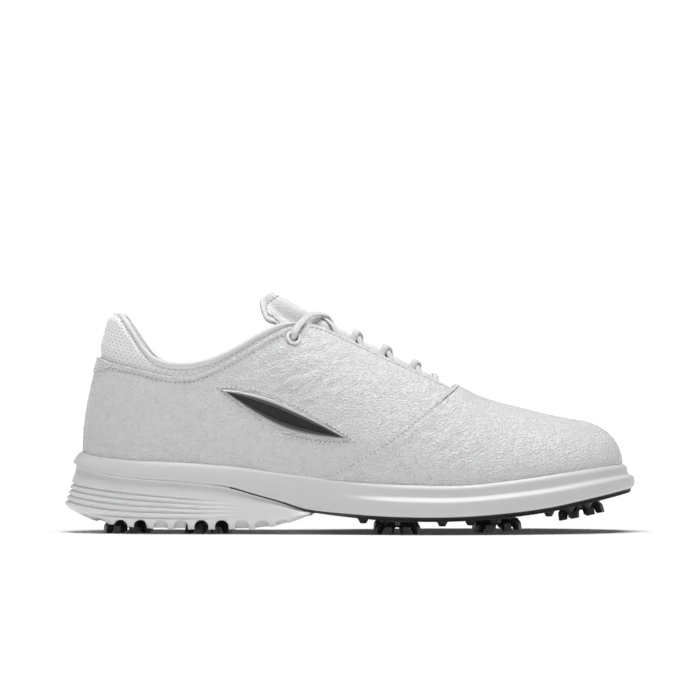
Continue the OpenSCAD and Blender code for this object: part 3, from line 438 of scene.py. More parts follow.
def principled(name, colour, roughness, **sockets):
    material = bpy.data.materials.new(name)
    material.use_nodes = True
    shader = material.node_tree.nodes["Principled BSDF"]
    shader.inputs["Base Color"].default_value = (*colour, 1)
    shader.inputs["Roughness"].default_value = roughness
    for socket, value in sockets.items():
        shader.inputs[socket.replace("_", " ")].default_value = value
    return material


class Weaver:
    """Adds nodes to a material or to the world: nodes by type, values by socket name."""

    def __init__(self, material, coordinates="Object", shader="Principled BSDF"):
        self.tree = material.node_tree
        self.shader = self.tree.nodes[shader]
        self.coordinates = self.add("TexCoord").outputs[coordinates]

    def add(self, kind, **sockets):
        node = self.tree.nodes.new("ShaderNode" + kind)
        for name, value in sockets.items():
            self.put(node.inputs[name.replace("_", " ")], value)
        return node

    def put(self, socket, value):
        if isinstance(value, bpy.types.NodeSocket):
            self.tree.links.new(value, socket)
        else:
            socket.default_value = value

    def math(self, operation, a, b=0.0):
        node = self.add("Math")
        node.operation = operation
        self.put(node.inputs[0], a)
        self.put(node.inputs[1], b)
        return node.outputs[0]

    def ramp(self, value, low, high, start=0.0, end=1.0, kind="SMOOTHSTEP"):
        """From start to end, as the value goes from low to high."""
        node = self.add("MapRange", Value=value, From_Min=low, From_Max=high, To_Min=start,
                        To_Max=end)
        node.interpolation_type = kind
        return node.outputs["Result"]

    def grain(self, size, detail=2.0):
        """Noise with features of a size in metres."""
        node = self.add("TexNoise", Scale=1/size, Detail=detail, Vector=self.coordinates)
        return node.outputs["Fac"]

    def pebbles(self, size):
        """Valleys between pebbles of a size in metres."""
        warp = self.add("TexNoise", Scale=0.5/size, Detail=1.0, Vector=self.coordinates)
        bent = self.add("VectorMath")
        bent.operation = "MULTIPLY_ADD"
        self.put(bent.inputs[0], warp.outputs["Color"])
        self.put(bent.inputs[1], (size*1.5,)*3)
        self.put(bent.inputs[2], self.coordinates)
        node = self.add("TexVoronoi", Scale=1/size, Vector=bent.outputs[0])
        node.feature = "DISTANCE_TO_EDGE"
        return self.ramp(node.outputs["Distance"], 0.0, 0.35)

    def mapped(self, scale, turn=0.0):
        node = self.add("Mapping", Vector=self.coordinates)
        node.inputs["Scale"].default_value = scale
        node.inputs["Rotation"].default_value = (0, 0, turn)
        return node.outputs[0]

    def weave(self, width, height):
        """Crossing diagonal ribs, one cell per width and height in the UV's units."""
        ribs = []
        for sign in (1, -1):
            split = self.add("SeparateXYZ", Vector=self.mapped((1/width, sign/height, 1)))
            phase = self.math("ADD", split.outputs["X"], split.outputs["Y"])
            ribs.append(self.math("SINE", self.math("MULTIPLY", phase, 2*math.pi)))
        return self.math("ADD", self.math("MULTIPLY", self.math("MULTIPLY", *ribs), 0.5), 0.5)

    def dots(self, pitch, radius):
        """1 in round dots of a staggered pattern, in the UV's units."""
        cell = pitch/math.sqrt(2)
        node = self.add("TexVoronoi", Vector=self.mapped((1/cell, 1/cell, 1), math.pi/4),
                        Scale=1.0, Randomness=0.0)
        node.voronoi_dimensions = "2D"
        return self.ramp(node.outputs["Distance"], 1.25*radius/cell, 0.75*radius/cell)

    def tint(self, factor, dark, light):
        node = self.add("Mix", Factor=factor)
        node.data_type = "RGBA"
        node.inputs["A"].default_value = (*dark, 1)
        node.inputs["B"].default_value = (*light, 1)
        self.put(self.shader.inputs["Base Color"], node.outputs["Result"])

    def rough(self, factor, low, high):
        self.put(self.shader.inputs["Roughness"], self.ramp(factor, 0, 1, low, high, "LINEAR"))

    def bump(self, *layers):
        """Stacks (height, depth in metres, strength) layers of bump."""
        last = None
        for height, depth, strength in layers:
            node = self.add("Bump", Height=height, Distance=depth, Strength=strength)
            if last:
                self.put(node.inputs["Normal"], last)
            last = node.outputs["Normal"]
        self.put(self.shader.inputs["Normal"], last)


def grey(value):
    """A grey with a trace of blue."""
    return (value, value*1.002, value*1.008)


def leather(name, colour=0.73, grain=0.0017, strength=0.9, roughness=(0.4, 0.54)):
    """White full-grain leather: fine pebbles, soft folds and an uneven satin finish."""
    material = principled(name, grey(colour), 0.45, Specular_IOR_Level=0.42)
    w = Weaver(material)
    folds = w.grain(0.006, 3.0)
    w.tint(folds, grey(colour*0.975), grey(colour*1.02))
    w.rough(w.grain(0.0016, 3.0), *roughness)
    w.bump((w.pebbles(grain), 0.0004, strength), (w.grain(0.0004, 2.0), 0.00004, 0.5),
           (folds, 0.0006, 0.25))
    return material


DOT_PITCH = 3.3
DOT_R = 0.34


def perforated(name):
    """Smooth padded textile with small round holes in a staggered pattern, their dark insides
    painted shade.
    """
    material = principled(name, grey(0.88), 0.6, Specular_IOR_Level=0.35, Sheen_Weight=0.15)
    w = Weaver(material, "UV")
    holes = w.dots(DOT_PITCH, DOT_R)
    # The dots' darker grey is painted shade inside the holes.
    w.tint(holes, grey(0.88), grey(0.55))
    w.bump((w.math("SUBTRACT", 1.0, holes), 0.0003, 1.0), (w.weave(0.7, 0.7), 0.00004, 0.5))
    return material


def textile(name, colour, cell, strength=0.6, roughness=0.75, sheen=0.3):
    """Knitted or woven cloth with a cell size in millimetres on its UVs."""
    material = principled(name, grey(colour), roughness, Specular_IOR_Level=0.3, Sheen_Weight=sheen)
    w = Weaver(material, "UV")
    weave = w.weave(cell, cell*0.8)
    w.tint(weave, grey(colour*0.86), grey(colour))
    w.bump((weave, 0.00018, strength))
    return material


def cloth_solid(name, colour, size, roughness=0.75):
    """Woven or foamed stuff for pieces without UVs."""
    material = principled(name, colour, roughness, Specular_IOR_Level=0.3)
    w = Weaver(material)
    fibres = w.grain(size, 4.0)
    w.tint(fibres, tuple(0.85*c for c in colour), colour)
    w.bump((fibres, size*0.4, 0.6))
    return material


def moulded(name, colour, roughness, grain=0.0005, strength=0.25, specular=0.5):
    """Moulded plastic or foam skin with a faint spark-eroded texture."""
    material = principled(name, colour, roughness, Specular_IOR_Level=specular)
    w = Weaver(material)
    cloud = w.grain(0.02, 3.0)
    w.tint(cloud, tuple(0.97*c for c in colour), colour)
    w.rough(w.grain(0.004, 4.0), roughness*0.88, roughness*1.12)
    w.bump((w.grain(grain, 2.0), grain*0.12, strength))
    return material


LEATHER = leather("leather_white")
TONGUE_LEATHER = leather("tongue_leather", 0.78, 0.0013, 0.5)
PERFORATED = perforated("collar_textile")
BINDING = textile("topline_binding", 0.8, 0.8, 0.3, 0.6)
LINING = textile("lining_textile", 0.80, 1.3, 0.7, 0.85)
THREAD = cloth_solid("thread", grey(0.78), 0.0003, 0.6)
# Dark grey for the discs at the needle holes: painted shade in the holes.
HOLE_SHADE = principled("needle_hole_shade", grey(0.25), 0.9)
LACE = textile("lace_textile", 0.82, 1.1, 0.9, 0.7)
MIDSOLE = moulded("midsole_foam", grey(0.67), 0.42)
HEEL_TPU = moulded("heel_tpu", grey(0.77), 0.36)
BLACK_TPU = moulded("plate_tpu", (0.028, 0.028, 0.03), 0.38)
CLEAT_TPU = moulded("cleat_tpu", (0.016, 0.016, 0.018), 0.33, specular=0.7)
SILVER = moulded("badge_silver", (0.52, 0.53, 0.54), 0.3, 0.0003, 0.2)
BADGE_GREY = textile("badge_grey", 0.10, 0.9, 0.8, 0.4, 0.0)
BADGE_BLACK = textile("badge_black", 0.01, 0.9, 0.9, 0.5, 0.0)
EYELET = moulded("eyelet_plastic", grey(0.8), 0.35)
INSOLE = textile("sockliner_textile", 0.62, 1.6, 0.7, 0.85)
AGLET = principled("aglet_plastic", grey(0.82), 0.2, Coat_Weight=0.6)
SILVER.node_tree.nodes["Principled BSDF"].inputs["Metallic"].default_value = 0.6

# The CAD's own pieces that stay in view, or inside the shoe.
CARRIED = {
    "collar_foam": cloth_solid("collar_foam", (0.8, 0.79, 0.75), 0.0009),
    "vamp_lining": cloth_solid("vamp_lining", grey(0.78), 0.0008),
    "heel_counter": cloth_solid("stiffener", grey(0.7), 0.0012),
    "lace_loops": cloth_solid("webbing", grey(0.8), 0.0005),
    "lasting_board": cloth_solid("board", (0.72, 0.66, 0.5), 0.0007),
    "shank": moulded("shank_plastic", (0.05, 0.05, 0.055), 0.4),
}
for name in ("toe_puff", "eyestay_lateral", "eyestay_medial"):
    CARRIED[name] = CARRIED["heel_counter"]
SOCKET = moulded("socket_plastic", (0.06, 0.06, 0.065), 0.4)
for i in range(1, 10):
    CARRIED[f"cleat_socket_{i}"] = SOCKET
    CARRIED[f"cleat_{i}"] = CLEAT_TPU
for side in ("lateral", "medial"):
    CARRIED[f"aglet_{side}"] = AGLET
for name, finish in CARRIED.items():
    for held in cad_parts[name].material_slots:
        held.material = finish


# ---- the upper -------------------------------------------------------------------------

LEATHER_T = 1.4
LINING_IN = 2.8         # depth of the lining's outer face
LINING_T = 1.2
TUCK = -0.7             # height of the upper's edge, turned in on the lasting board
UNDERLAP = 0.1          # stations that the quarters reach under the vamp
EYELET_AT = (5.65, 0.612)
EYELET_R = 2.3
HOLE_R = EYELET_R + 0.45
EDGE_R = 0.5
THROAT_X = 53
LAP = 0.6               # how far the vamp's edge stands over the quarters


def rounded(d, radius=EDGE_R):
    """How far a panel's face falls away at a distance from its rounded edge."""
    k = np.clip(1 - d/radius, 0, 1)
    return radius*(1 - np.sqrt(1 - k*k))


def channel(d, centre, width=0.8, depth=0.16):
    """The groove that a row of stitches pulls into leather."""
    return depth*np.exp(-((d - centre)/width)**2)


def leather_relief(p):
    """Soft unevenness of stretched leather, and creases behind the ball and under the eyelet."""
    x, y, z = p[..., 0], p[..., 1], p[..., 2]
    broad = 0.22*noise(x/26, y/26, z/26)
    along_fold = 0.93*x + 0.36*z
    across_fold = -0.36*x + 0.93*z
    warp = 1.6*noise(x/9, y/9, z/9 + 40)
    fine = noise(along_fold/6.2, y/9, across_fold/1.9 + warp)
    finer = noise(along_fold/3.1 + 9, y/6, across_fold/1.1 + warp)
    flex = (np.exp(-((x + 26)/30)**2 - ((z - 82)/19)**2)
            + 0.35*np.exp(-((x - 40)/26)**2 - ((z - 50)/20)**2))
    flex = flex + 0.26*ease(30, 45, z)*ease(85, 45, x)
    return broad - flex*(0.42*fine + 0.26*finer)


def side_name(side):
    return "lateral" if side > 0 else "medial"


def eyelet_frame(side):
    """Centre and outward axis of an eyelet."""
    a, t = np.array([EYELET_AT[0]*side]), np.array([EYELET_AT[1]])
    return skin(a, t, 0.0)[0], normal(a, t)[0]


def quarter(side):
    """One quarter, from the back seam to under the vamp's edge."""
    def place(u, v):
        t = mix(TUCK, column_top(u, QUARTER_TOP, UNDERLAP), v)
        return side*u*(seam(t) + UNDERLAP), t
    g = Grid(place, (0.0, 1.0), (0.0, 1.0), (250, 120), (FINE[:6], PLAIN), (PLAIN, FINE))
    centre, axis = eyelet_frame(side)
    away = np.linalg.norm(g.p - centre, axis=-1)
    on_facing = ease(5.3, 5.7, np.abs(g.a))
    turned_edge = 0.6*ease(3.0, 1.7, g.high)*(1 - 0.7*on_facing)
    groove = channel(g.high, mix(2.9, 2.6, on_facing), 0.8, 0.22)
    outer = (rounded(g.high) + rounded(g.start, 0.35) + groove - turned_edge
             + leather_relief(g.p)*ease(2, 8, g.high) + 0.55*np.exp(-(away/6.5)**2))
    inner = mix(0.85, LEATHER_T, ease(3, 7, g.high))
    name = "quarter_" + side_name(side)
    piece = g.sheet(name + "_leather", outer, inner, LEATHER, "leather_white",
                    hole=(centre, axis, HOLE_R))
    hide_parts(name)


def over_ridge(a, t, v):
    """Stations on both sides of the instep ridge: v is below 0 on the lateral side."""
    return np.where(v > 0, 2*TOE - a, a), t


def vamp():
    """The vamp: its seam edge laps over both quarters, and the throat over the tongue."""
    def place(u, v):
        t = mix(TUCK, 1, 1 - np.abs(v))
        return over_ridge(mix(seam(t), TOE, u), t, v)
    g = Grid(place, (0.0, 1.0), (-1.0, 1.0), (190, 240), (FINE, PLAIN))
    d = g.start
    low = ease(0.02, -0.12, g.t)
    throat = 0.6*np.exp(-((g.p[..., 0] - THROAT_X)/7)**2)*ease(12, 4, d)
    outer = (-LAP*(1 - ease(3, 13, d))*(1 - low) + throat + rounded(d, 0.45) + channel(d, 1.9)
             + leather_relief(g.p)*ease(2, 9, d))
    inner = mix(-0.08, LEATHER_T, ease(3.5, 9, d))
    inner = np.maximum(inner, outer + 0.5)
    piece = g.sheet("vamp_leather", outer, inner, LEATHER, "leather_white", folded=True)
    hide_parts("vamp")


PATCH_END = 1.15


def heel_patch():
    """Small overlay over the back seam."""
    def place(u, v):
        high = crossing(u, QUARTER_TOP)
        low = crossing(u, QUARTER_TOP, -9.5 + 7.5*np.abs(u/PATCH_END)**1.3)
        return u, mix(low, high, v)
    ends = (FINE[:9], FINE[:9])
    g = Grid(place, (-PATCH_END, PATCH_END), (0.0, 1.0), (110, 26), ends, ends)
    edge = np.minimum(g.low, np.minimum(g.start, g.end))
    outer = -0.75 + rounded(edge, 0.4) + rounded(g.high) + channel(edge, 1.5, 0.6, 0.12)
    piece = g.sheet("heel_patch_leather", outer, 0.25, LEATHER, "leather_white")
    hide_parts("heel_patch")


PANEL_END = 5.6
ROLL_END = 5.95
ROLL_R = 1.7


def roll_size(a):
    """The roll's radius, thinner towards the lacing."""
    return ROLL_R*(0.45 + 0.55*ease(6.1, 5.2, np.abs(a)))


def at_back(a):
    """1 at the back of the heel, where the panel stands up behind the roll."""
    return ease(1.6, 0.3, np.abs(a))


def collar_panel():
    """Padded textile between the quarters and the topline roll, its perforations shallow dimples
    whose dark insides are painted shade in its material.
    """
    def place(u, v):
        below = mix(1.2, 0.3, at_back(u))*roll_size(u)
        return u, mix(crossing(u, QUARTER_TOP, -3.0), crossing(u, TOPLINE, -below), v)
    g = Grid(place, (-PANEL_END, PANEL_END), (0.0, 1.0), (620, 74))
    up = g.low - 3.2
    puff = ease(-0.5, 7, up)*ease(0.3, 4.5, g.high)
    fullness = mix(0.25, 1.5, ease(40, 8, np.abs(g.start - g.start[-1]/2)/3))
    cell = DOT_PITCH/math.sqrt(2)
    turn = np.array([[1, -1], [1, 1]])/math.sqrt(2)
    lattice = g.uv @ turn/cell
    reach = np.linalg.norm(lattice - np.round(lattice), axis=-1)*cell
    dimple = 0.24*np.exp(-(reach/0.42)**2)*ease(0.8, 1.6, up)
    outer = 1.3 - puff*(fullness + 0.3) + dimple + 0.5*ease(2.5, 0, g.high)
    piece = g.sheet("collar_panel_textile", outer, 2.0, PERFORATED, "collar_textile")
    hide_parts("collar_panel")


def tube(name, centres, sides, ups, widths, heights, count, material, slot):
    """A closed oval tube through centres, with a cap of shrinking rings at each end."""
    out = circle(count, sides*widths[:, None], ups*heights[:, None])
    rings = centres[:, None] + out
    ends = []
    for end, beyond in ((0, 1), (-1, -2)):
        ahead = unit(centres[end] - centres[beyond])
        for share, push in ((0.92, 0.35), (0.7, 0.72), (0.3, 0.96)):
            ends.append(centres[end] + out[end]*share + ahead*heights[end]*push)
    rings = np.concatenate([ends[2::-1], rings, ends[3:]])
    run = line_run(rings.mean(1))
    around = 2*np.pi*(widths.mean() + heights.mean())/2/count*np.arange(count)
    uv = np.stack(np.meshgrid(run, around, indexing="ij"), -1).reshape(-1, 2)
    return new_object(name, rings.reshape(-1, 3), ring_faces(len(rings), count), material, slot,
                      uv=uv)


def topline_roll():
    """The rolled edge of the ankle opening."""
    a = np.linspace(-ROLL_END, ROLL_END, 460)
    t = crossing(a, TOPLINE)
    n, up, r = normal(a, t), rise_at(a, t), roll_size(a)
    centres = skin(a, t, 1.5 + 2*at_back(a)) - up*r[:, None]
    wrinkle = 1 + 0.012*noise(a*9, 0, 0)
    piece = tube("topline_binding", centres, n, up, r*wrinkle, r*wrinkle, 28, BINDING,
                 "topline_binding")
    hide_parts("topline_roll")


def foam(p):
    """How far the collar's foam pushes the lining inward."""
    d = curve(TOPLINE, p[..., 0]) - p[..., 2]
    return 4.5*ease(-30, -60, p[..., 0])*ease(24, 9, d)*(1 - 0.55*ease(6, 0, d))


def quarter_lining():
    """One lining for both quarters, padded at the ankle, its edge turned out to the roll."""
    def place(u, v):
        t = mix(TUCK, column_top(np.abs(u), LINING_TOP), v)
        return u*seam(t), t
    g = Grid(place, (-1.0, 1.0), (0.0, 1.0), (300, 90), v_ends=(PLAIN, FINE[:6]))
    folded_out = 2.0*(1 - at_back(g.a))*ease(3.2, 0.3, g.high)*ease(-30, -60, g.base[..., 0])
    bulge = foam(g.base) - folded_out
    outer, inner = LINING_IN + bulge, LINING_IN + LINING_T + bulge - rounded(g.high, 0.4)
    piece = g.sheet("quarter_lining_textile", outer, inner, LINING, "lining_textile")
    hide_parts("quarter_lining")


def eyelet_ring(side):
    """A smooth moulded ring whose tube lines the eyelet."""
    r, count = EYELET_R, 48
    bead = np.linspace(-0.15, np.pi, 14)[2:]
    profile = [(r + 0.4, 0.0), (r + 0.4, -4.2), (r, -4.2), (r, 0.1)]
    profile += [(r + 0.95 - 0.95*math.cos(b), 0.15 + 0.85*math.sin(b)) for b in bead]
    radii, heights = np.array(profile).T[:, :, None, None]
    centre, axis = eyelet_frame(side)
    x = unit(np.cross([0, 1.0, 0], axis))
    rings = centre + radii*circle(count, x, np.cross(axis, x)) + (heights - 0.35)*axis
    ids = np.arange(len(rings)*count).reshape(-1, count)
    ids = np.concatenate([ids, ids[:, :1]], 1)
    faces = quads(np.concatenate([ids, ids[:1]])).tolist()
    name = "eyelet_ring_" + side_name(side)
    piece = new_object(name + "_smooth", rings.reshape(-1, 3), faces, EYELET, "eyelet_plastic")
    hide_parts(name)


# ---- badges ----------------------------------------------------------------------------

BADGE_LINE = np.array([[-70, 76.5], [-35, 61.5], [2, 48.5]])
BADGE_ENDS = (3.78, 6.1)
BADGE_HALF = 6.2
MM_PER_STATION = 30.0


def badge_place(side, length_share, width_share, extra=0.0):
    """Lens shape along the badge line: u runs along it and v across it."""
    def place(u, v):
        middle = (BADGE_ENDS[0] + BADGE_ENDS[1])/2
        reach = (BADGE_ENDS[1] - BADGE_ENDS[0])/2*length_share + extra/MM_PER_STATION
        a = middle + reach*u
        high = (BADGE_HALF*width_share + extra)*np.maximum(0.02, 1 - np.abs(u)**1.7)
        return side*a, crossing(a, BADGE_LINE, v*high)
    return place


def badge_layer(name, side, share, outer, inner, edge, material, slot, dish=0.0):
    """One layer of a badge: share is its length and width, dish the depth of its middle."""
    ends = (FINE[:6], FINE[:6])
    g = Grid(badge_place(side, *share), (-1.0, 1.0), (-1.0, 1.0), (150, 22), ends, ends)
    border = np.minimum(g.low, g.high)
    depth = outer + rounded(border, edge) + dish*ease(0.4, 1.6, border)
    return g.sheet(name, depth, inner, material, slot)


def badge(side):
    """A plain lozenge: silver rim, grey woven band and a raised black heart."""
    label = side_name(side)
    rim = badge_layer(f"badge_{label}_rim", side, (1, 1), -1.0, 0.1, 0.5, SILVER, "badge_grey",
                      0.35)
    badge_layer(f"badge_{label}_band", side, (0.95, 0.76), -0.95, -0.5, 0.3, BADGE_GREY,
                "badge_grey")
    heart = badge_layer(f"badge_{label}_heart", side, (0.86, 0.5), -1.35, -0.8, 0.45,
                        BADGE_BLACK, "badge_black")
    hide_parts(f"badge_backing_{label}")
    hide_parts(f"badge_inlay_{label}")


# ---- the tongue ------------------------------------------------------------------------

TONGUE_FRONT = 8.62
TONGUE_UNDER = 1.8
TONGUE_SKIN = 1.2
TONGUE_PAD = 3.2
TONGUE_HEM = 3.7        # distance of the border stitches from the edge


def tongue_place(u, v):
    """u runs from the throat to the tip and v from side to side."""
    s = mix(TONGUE_FRONT, 5.7 - 0.45*ease(0, 0.95, np.abs(v)), u)
    span = 0.27 + 0.05*ease(6.5, 5.6, s) + 0.02*ease(5.5, 5.3, s)
    return over_ridge(s, 1 - span*np.abs(v), v)


def tongue_depth(s, w):
    """Depth of the tongue's face at station s and distance w from the ridge."""
    free = ease(5.8, 5.35, s)
    under_facings = (6.2 - 3.8*free)*ease(0.06, 0.2, w)
    under_knot = 0.8*ease(6.2, 5.5, s)*(1 - ease(0.06, 0.3, w))
    under_vamp = 3*ease(8.15, 8.5, s)*(1 - ease(0.06, 0.2, w))
    return TONGUE_UNDER + under_facings + under_knot + under_vamp


def tongue():
    """Padded leather tongue with a sewn border, and its textile lining."""
    g = Grid(tongue_place, (0.0, 1.0), (-1.0, 1.0), (190, 150), (PLAIN, FINE[:9]),
             (FINE[:9], FINE[:9]))
    face = tongue_depth(half(g.a), 1 - g.t)
    border = np.minimum(np.minimum(g.low, g.high), g.end)
    thick = (TONGUE_SKIN + TONGUE_PAD*ease(0, 0.15, g.u)*ease(1.02, 0.9, g.u)
             * ease(1.05, 0.7, np.abs(g.v)))
    plump = 0.5*ease(3.6, 9, border)*ease(0, 0.1, g.u)
    groove = channel(border, TONGUE_HEM, 0.9, 0.35)
    outer = face + rounded(border, 0.6) + groove - plump + 0.25 + 0.12*noise(*(g.p.T/14)).T
    leather_piece = g.sheet("tongue_leather", outer, face + thick, TONGUE_LEATHER,
                            "tongue_leather", body="tongue")
    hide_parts("tongue")
    lining_face = face + thick + 0.1
    lining = g.sheet("tongue_lining_textile", lining_face,
                     lining_face + 0.9 - rounded(border, 0.4), LINING, "lining_textile",
                     body="tongue")
    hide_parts("tongue_lining")


# ---- laces -----------------------------------------------------------------------------

# Lace points are (station, distance from the ridge, depth, turn), as in the CAD.
LACE_W = 3.6
LACE_T = 1.8
LOOP_ROWS = [8.1, 7.68, 7.23, 6.79]
LOOP_HALF = 0.13
CROSSINGS = [7.9, 7.45, 7.01, 6.52]
UNDER_FACING = 5.9
LOW_PASS = TONGUE_UNDER - LACE_T/2 - 0.12
HIGH_PASS = LOW_PASS - LACE_T - 0.12
LACE_TAIL = [
    [5.65, 0.388, 6.6, 1], [5.65, 0.392, 8.4, 0.9], [5.66, 0.415, 9.9, 0.55],
    [5.69, 0.45, 10.4, 0.2], [5.73, 0.5, 9.6, 0], [5.78, 0.56, 8, -0.1],
    [5.84, 0.63, 6.7, 0], [5.92, 0.72, 6.2, 0],
    [6.02, 0.82, 6, 0], [6.13, 0.92, 6.1, 0], [6.27, 1.02, 6.4, 0], [6.45, 1.12, 6.8, 0],
    [6.7, 1.2, 7.2, 0], [7, 1.25, 7.6, 0], [7.35, 1.28, 7.8, 0], [7.75, 1.3, 7.8, 0],
    [8.15, 1.3, 7.8, 0], [8.5, 1.3, 7.8, 0]]


def loop_turn(s, side):
    """The lace through one webbing loop, from its heel side to its toe side."""
    return [[s + ahead, side*w, depth, 0] for ahead, w, depth in (
        (-LOOP_HALF, 0.19, 5.4), (-0.115, 0.226, UNDER_FACING), (0, 0.247, UNDER_FACING),
        (0.115, 0.226, UNDER_FACING), (LOOP_HALF, 0.19, 5.4))]


def ridge_pass(s0, s1, c, side, depth):
    """The lace over the tongue from station s0 to s1, crossing the ridge at station c."""
    near = min(0.75, depth)
    return [[mix(c, s0 if share > 0 else s1, abs(share)), side*w, d, 0] for share, w, d in (
        (0.7, 0.125, 2.5), (0.35, 0.07, near), (0, 0, depth), (-0.35, -0.07, near),
        (-0.7, -0.125, 2.5))]


def eyelet_run(side):
    """Up through the eyelet and over the tongue's edge to the top crossing."""
    return [[s, side*w, depth, turn] for s, w, depth, turn in (
        (5.65, 0.388, 6.4, 1), (5.65, 0.388, 4.8, 1), (5.65, 0.388, 2.5, 1),
        (5.65, 0.387, 0, 0.95), (5.66, 0.38, -1.5, 0.6), (5.71, 0.355, -2.1, 0.15),
        (5.82, 0.31, -1.4, 0), (6.0, 0.24, -1.1, 0), (6.24, 0.13, -0.6, 0))]


def half_lace(side, over):
    """Lace points from one eyelet down to the lowest row; over: on top at the first crossing."""
    points = eyelet_run(side) + [[CROSSINGS[3], 0, HIGH_PASS if over else LOW_PASS, 0],
                                 [6.62, -side*0.08, 0.8, 0], [6.67, -side*0.13, 2.6, 0]]
    for row in (3, 2, 1):
        side, over = -side, not over
        points += loop_turn(LOOP_ROWS[row], side)
        points += ridge_pass(LOOP_ROWS[row] + LOOP_HALF, LOOP_ROWS[row - 1] - LOOP_HALF,
                             CROSSINGS[row - 1], side, HIGH_PASS if over else LOW_PASS)
    return points + loop_turn(LOOP_ROWS[0], -side)


def lace_points():
    """The whole laced path, tied together by the lowest bar."""
    bar = [[LOOP_ROWS[0] + LOOP_HALF, w, 2.5 if abs(w) > 0.1 else LOW_PASS, 0]
           for w in (-0.13, -0.07, 0, 0.07, 0.13)]
    return half_lace(-1, True) + bar + half_lace(1, False)[::-1]


def lace_frame(points):
    """Places of lace points, and the directions in which the lace's flat side faces."""
    c = np.array(points, float)
    a = np.where(c[:, 1] > 0, 2*TOE - c[:, 0], c[:, 0])
    t = 1 - np.abs(c[:, 1])
    up = normal(a, t)*(1 - c[:, 3:]) - rise_at(a, t)*c[:, 3:]
    return skin(a, t, c[:, 2]), unit(up)


def smooth_line(points, steps):
    """A smooth line through points, with a number of steps between neighbours."""
    rows = np.concatenate([[2*points[0] - points[1]], points, [2*points[-1] - points[-2]]])
    i = np.repeat(np.arange(len(points) - 1), steps)
    f = np.tile(np.arange(steps)/steps, len(points) - 1)
    line = between_rows(rows[i], rows[i + 1], rows[i + 2], rows[i + 3], f)
    return np.concatenate([line, points[-1:]])


def lace_tube(name, points, steps=8):
    """An oval woven lace through lace points; returns the piece and its centre line."""
    centres, ups = lace_frame(points)
    centres, ups = smooth_line(centres, steps), unit(smooth_line(ups, steps))
    ahead = np.gradient(centres, axis=0)
    side = unit(np.cross(ahead, ups))
    top = unit(np.cross(side, ahead))
    run = line_run(centres)
    pulse = 1 + 0.02*np.sin(run*2*np.pi/1.6)
    w, t = LACE_W/2*pulse, LACE_T/2*pulse
    return tube(name, centres, side, top, w, t, 24, LACE, "lace_textile"), centres


def lace_end(side):
    """A free end, tucked down inside the shoe; side is below 0 for the lateral one."""
    label = side_name(-side)
    tail = [[s, side*w, d, turn] for s, w, d, turn in LACE_TAIL]
    piece, centres = lace_tube(f"lace_end_{label}_woven", tail)
    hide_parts(f"lace_end_{label}")
    length = float(line_run(centres)[-1])*MM


def laces():
    for side in (-1, 1):
        lace_end(side)
    piece, _ = lace_tube("lace_woven", lace_points())
    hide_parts("lace")


# ---- stitches --------------------------------------------------------------------------

STITCH_PITCH = 2.45
HALF_STITCH = 0.39      # as a share of the pitch
THREAD_R = 0.34
# Rings along a stitch: place from -1 to 1, thickness, and rise in thread widths.
THREAD_RINGS = [(-1, 0.35, -0.42), (-0.93, 0.75, -0.2), (-0.6, 1, 0), (0, 1.05, 0.06),
                (0.6, 1, 0), (0.93, 0.75, -0.2), (1, 0.35, -0.42)]
# Rings of the dark disc of painted shade in a needle hole: radius and height.
HOLE_RINGS = [(0.3, -0.2), (0.3, 0.07), (0.195, 0.11)]


def at_lengths(line, run, lengths):
    return np.stack([np.interp(lengths, run, line[:, k]) for k in range(3)], -1)


def stitches(name, a, t, depth, body="shoe", pitch=STITCH_PITCH):
    """Separate sewn stitches, and dark discs of painted shade at their needle holes, along stations
    a and heights t.
    """
    line, ups = skin(a, t, depth), normal(*arrays(a, t))
    run = line_run(line)
    count = int(run[-1]/pitch)
    middles = (np.arange(count) + 0.5)*run[-1]/count
    centre = at_lengths(line, run, middles)
    ahead = unit(at_lengths(line, run, middles + 0.4) - at_lengths(line, run, middles - 0.4))
    up = unit(at_lengths(ups, run, middles))
    side = unit(np.cross(ahead, up))
    up = np.cross(side, ahead)
    around = circle(8, side, up)
    rings = [(centre + ahead*HALF_STITCH*pitch*share + up*sink*THREAD_R*2)[:, None]
             + thick*THREAD_R*around for share, thick, sink in THREAD_RINGS]
    sewn_row(name, rings, THREAD, body, 80)
    # Each needle hole gets a dark disc: painted shade in the hole.
    out = circle(8, ahead, side)
    holes = (centre + ahead*pitch/2)[:, None]
    rings = [holes + radius*out + height*up[:, None] for radius, height in HOLE_RINGS]
    sewn_row(name + "_hole_shade", rings, HOLE_SHADE, body, 45)


def sewn_row(name, rings, material, body, sharp):
    """Small closed solids side by side, each through its own rings of points."""
    points = np.stack(rings, 1)
    copies, n, count = points.shape[:3]
    faces = repeated(ring_faces(n, count), n*count, copies)
    new_object(name, points.reshape(-1, 3), faces, material, "leather_white", body, sharp=sharp)


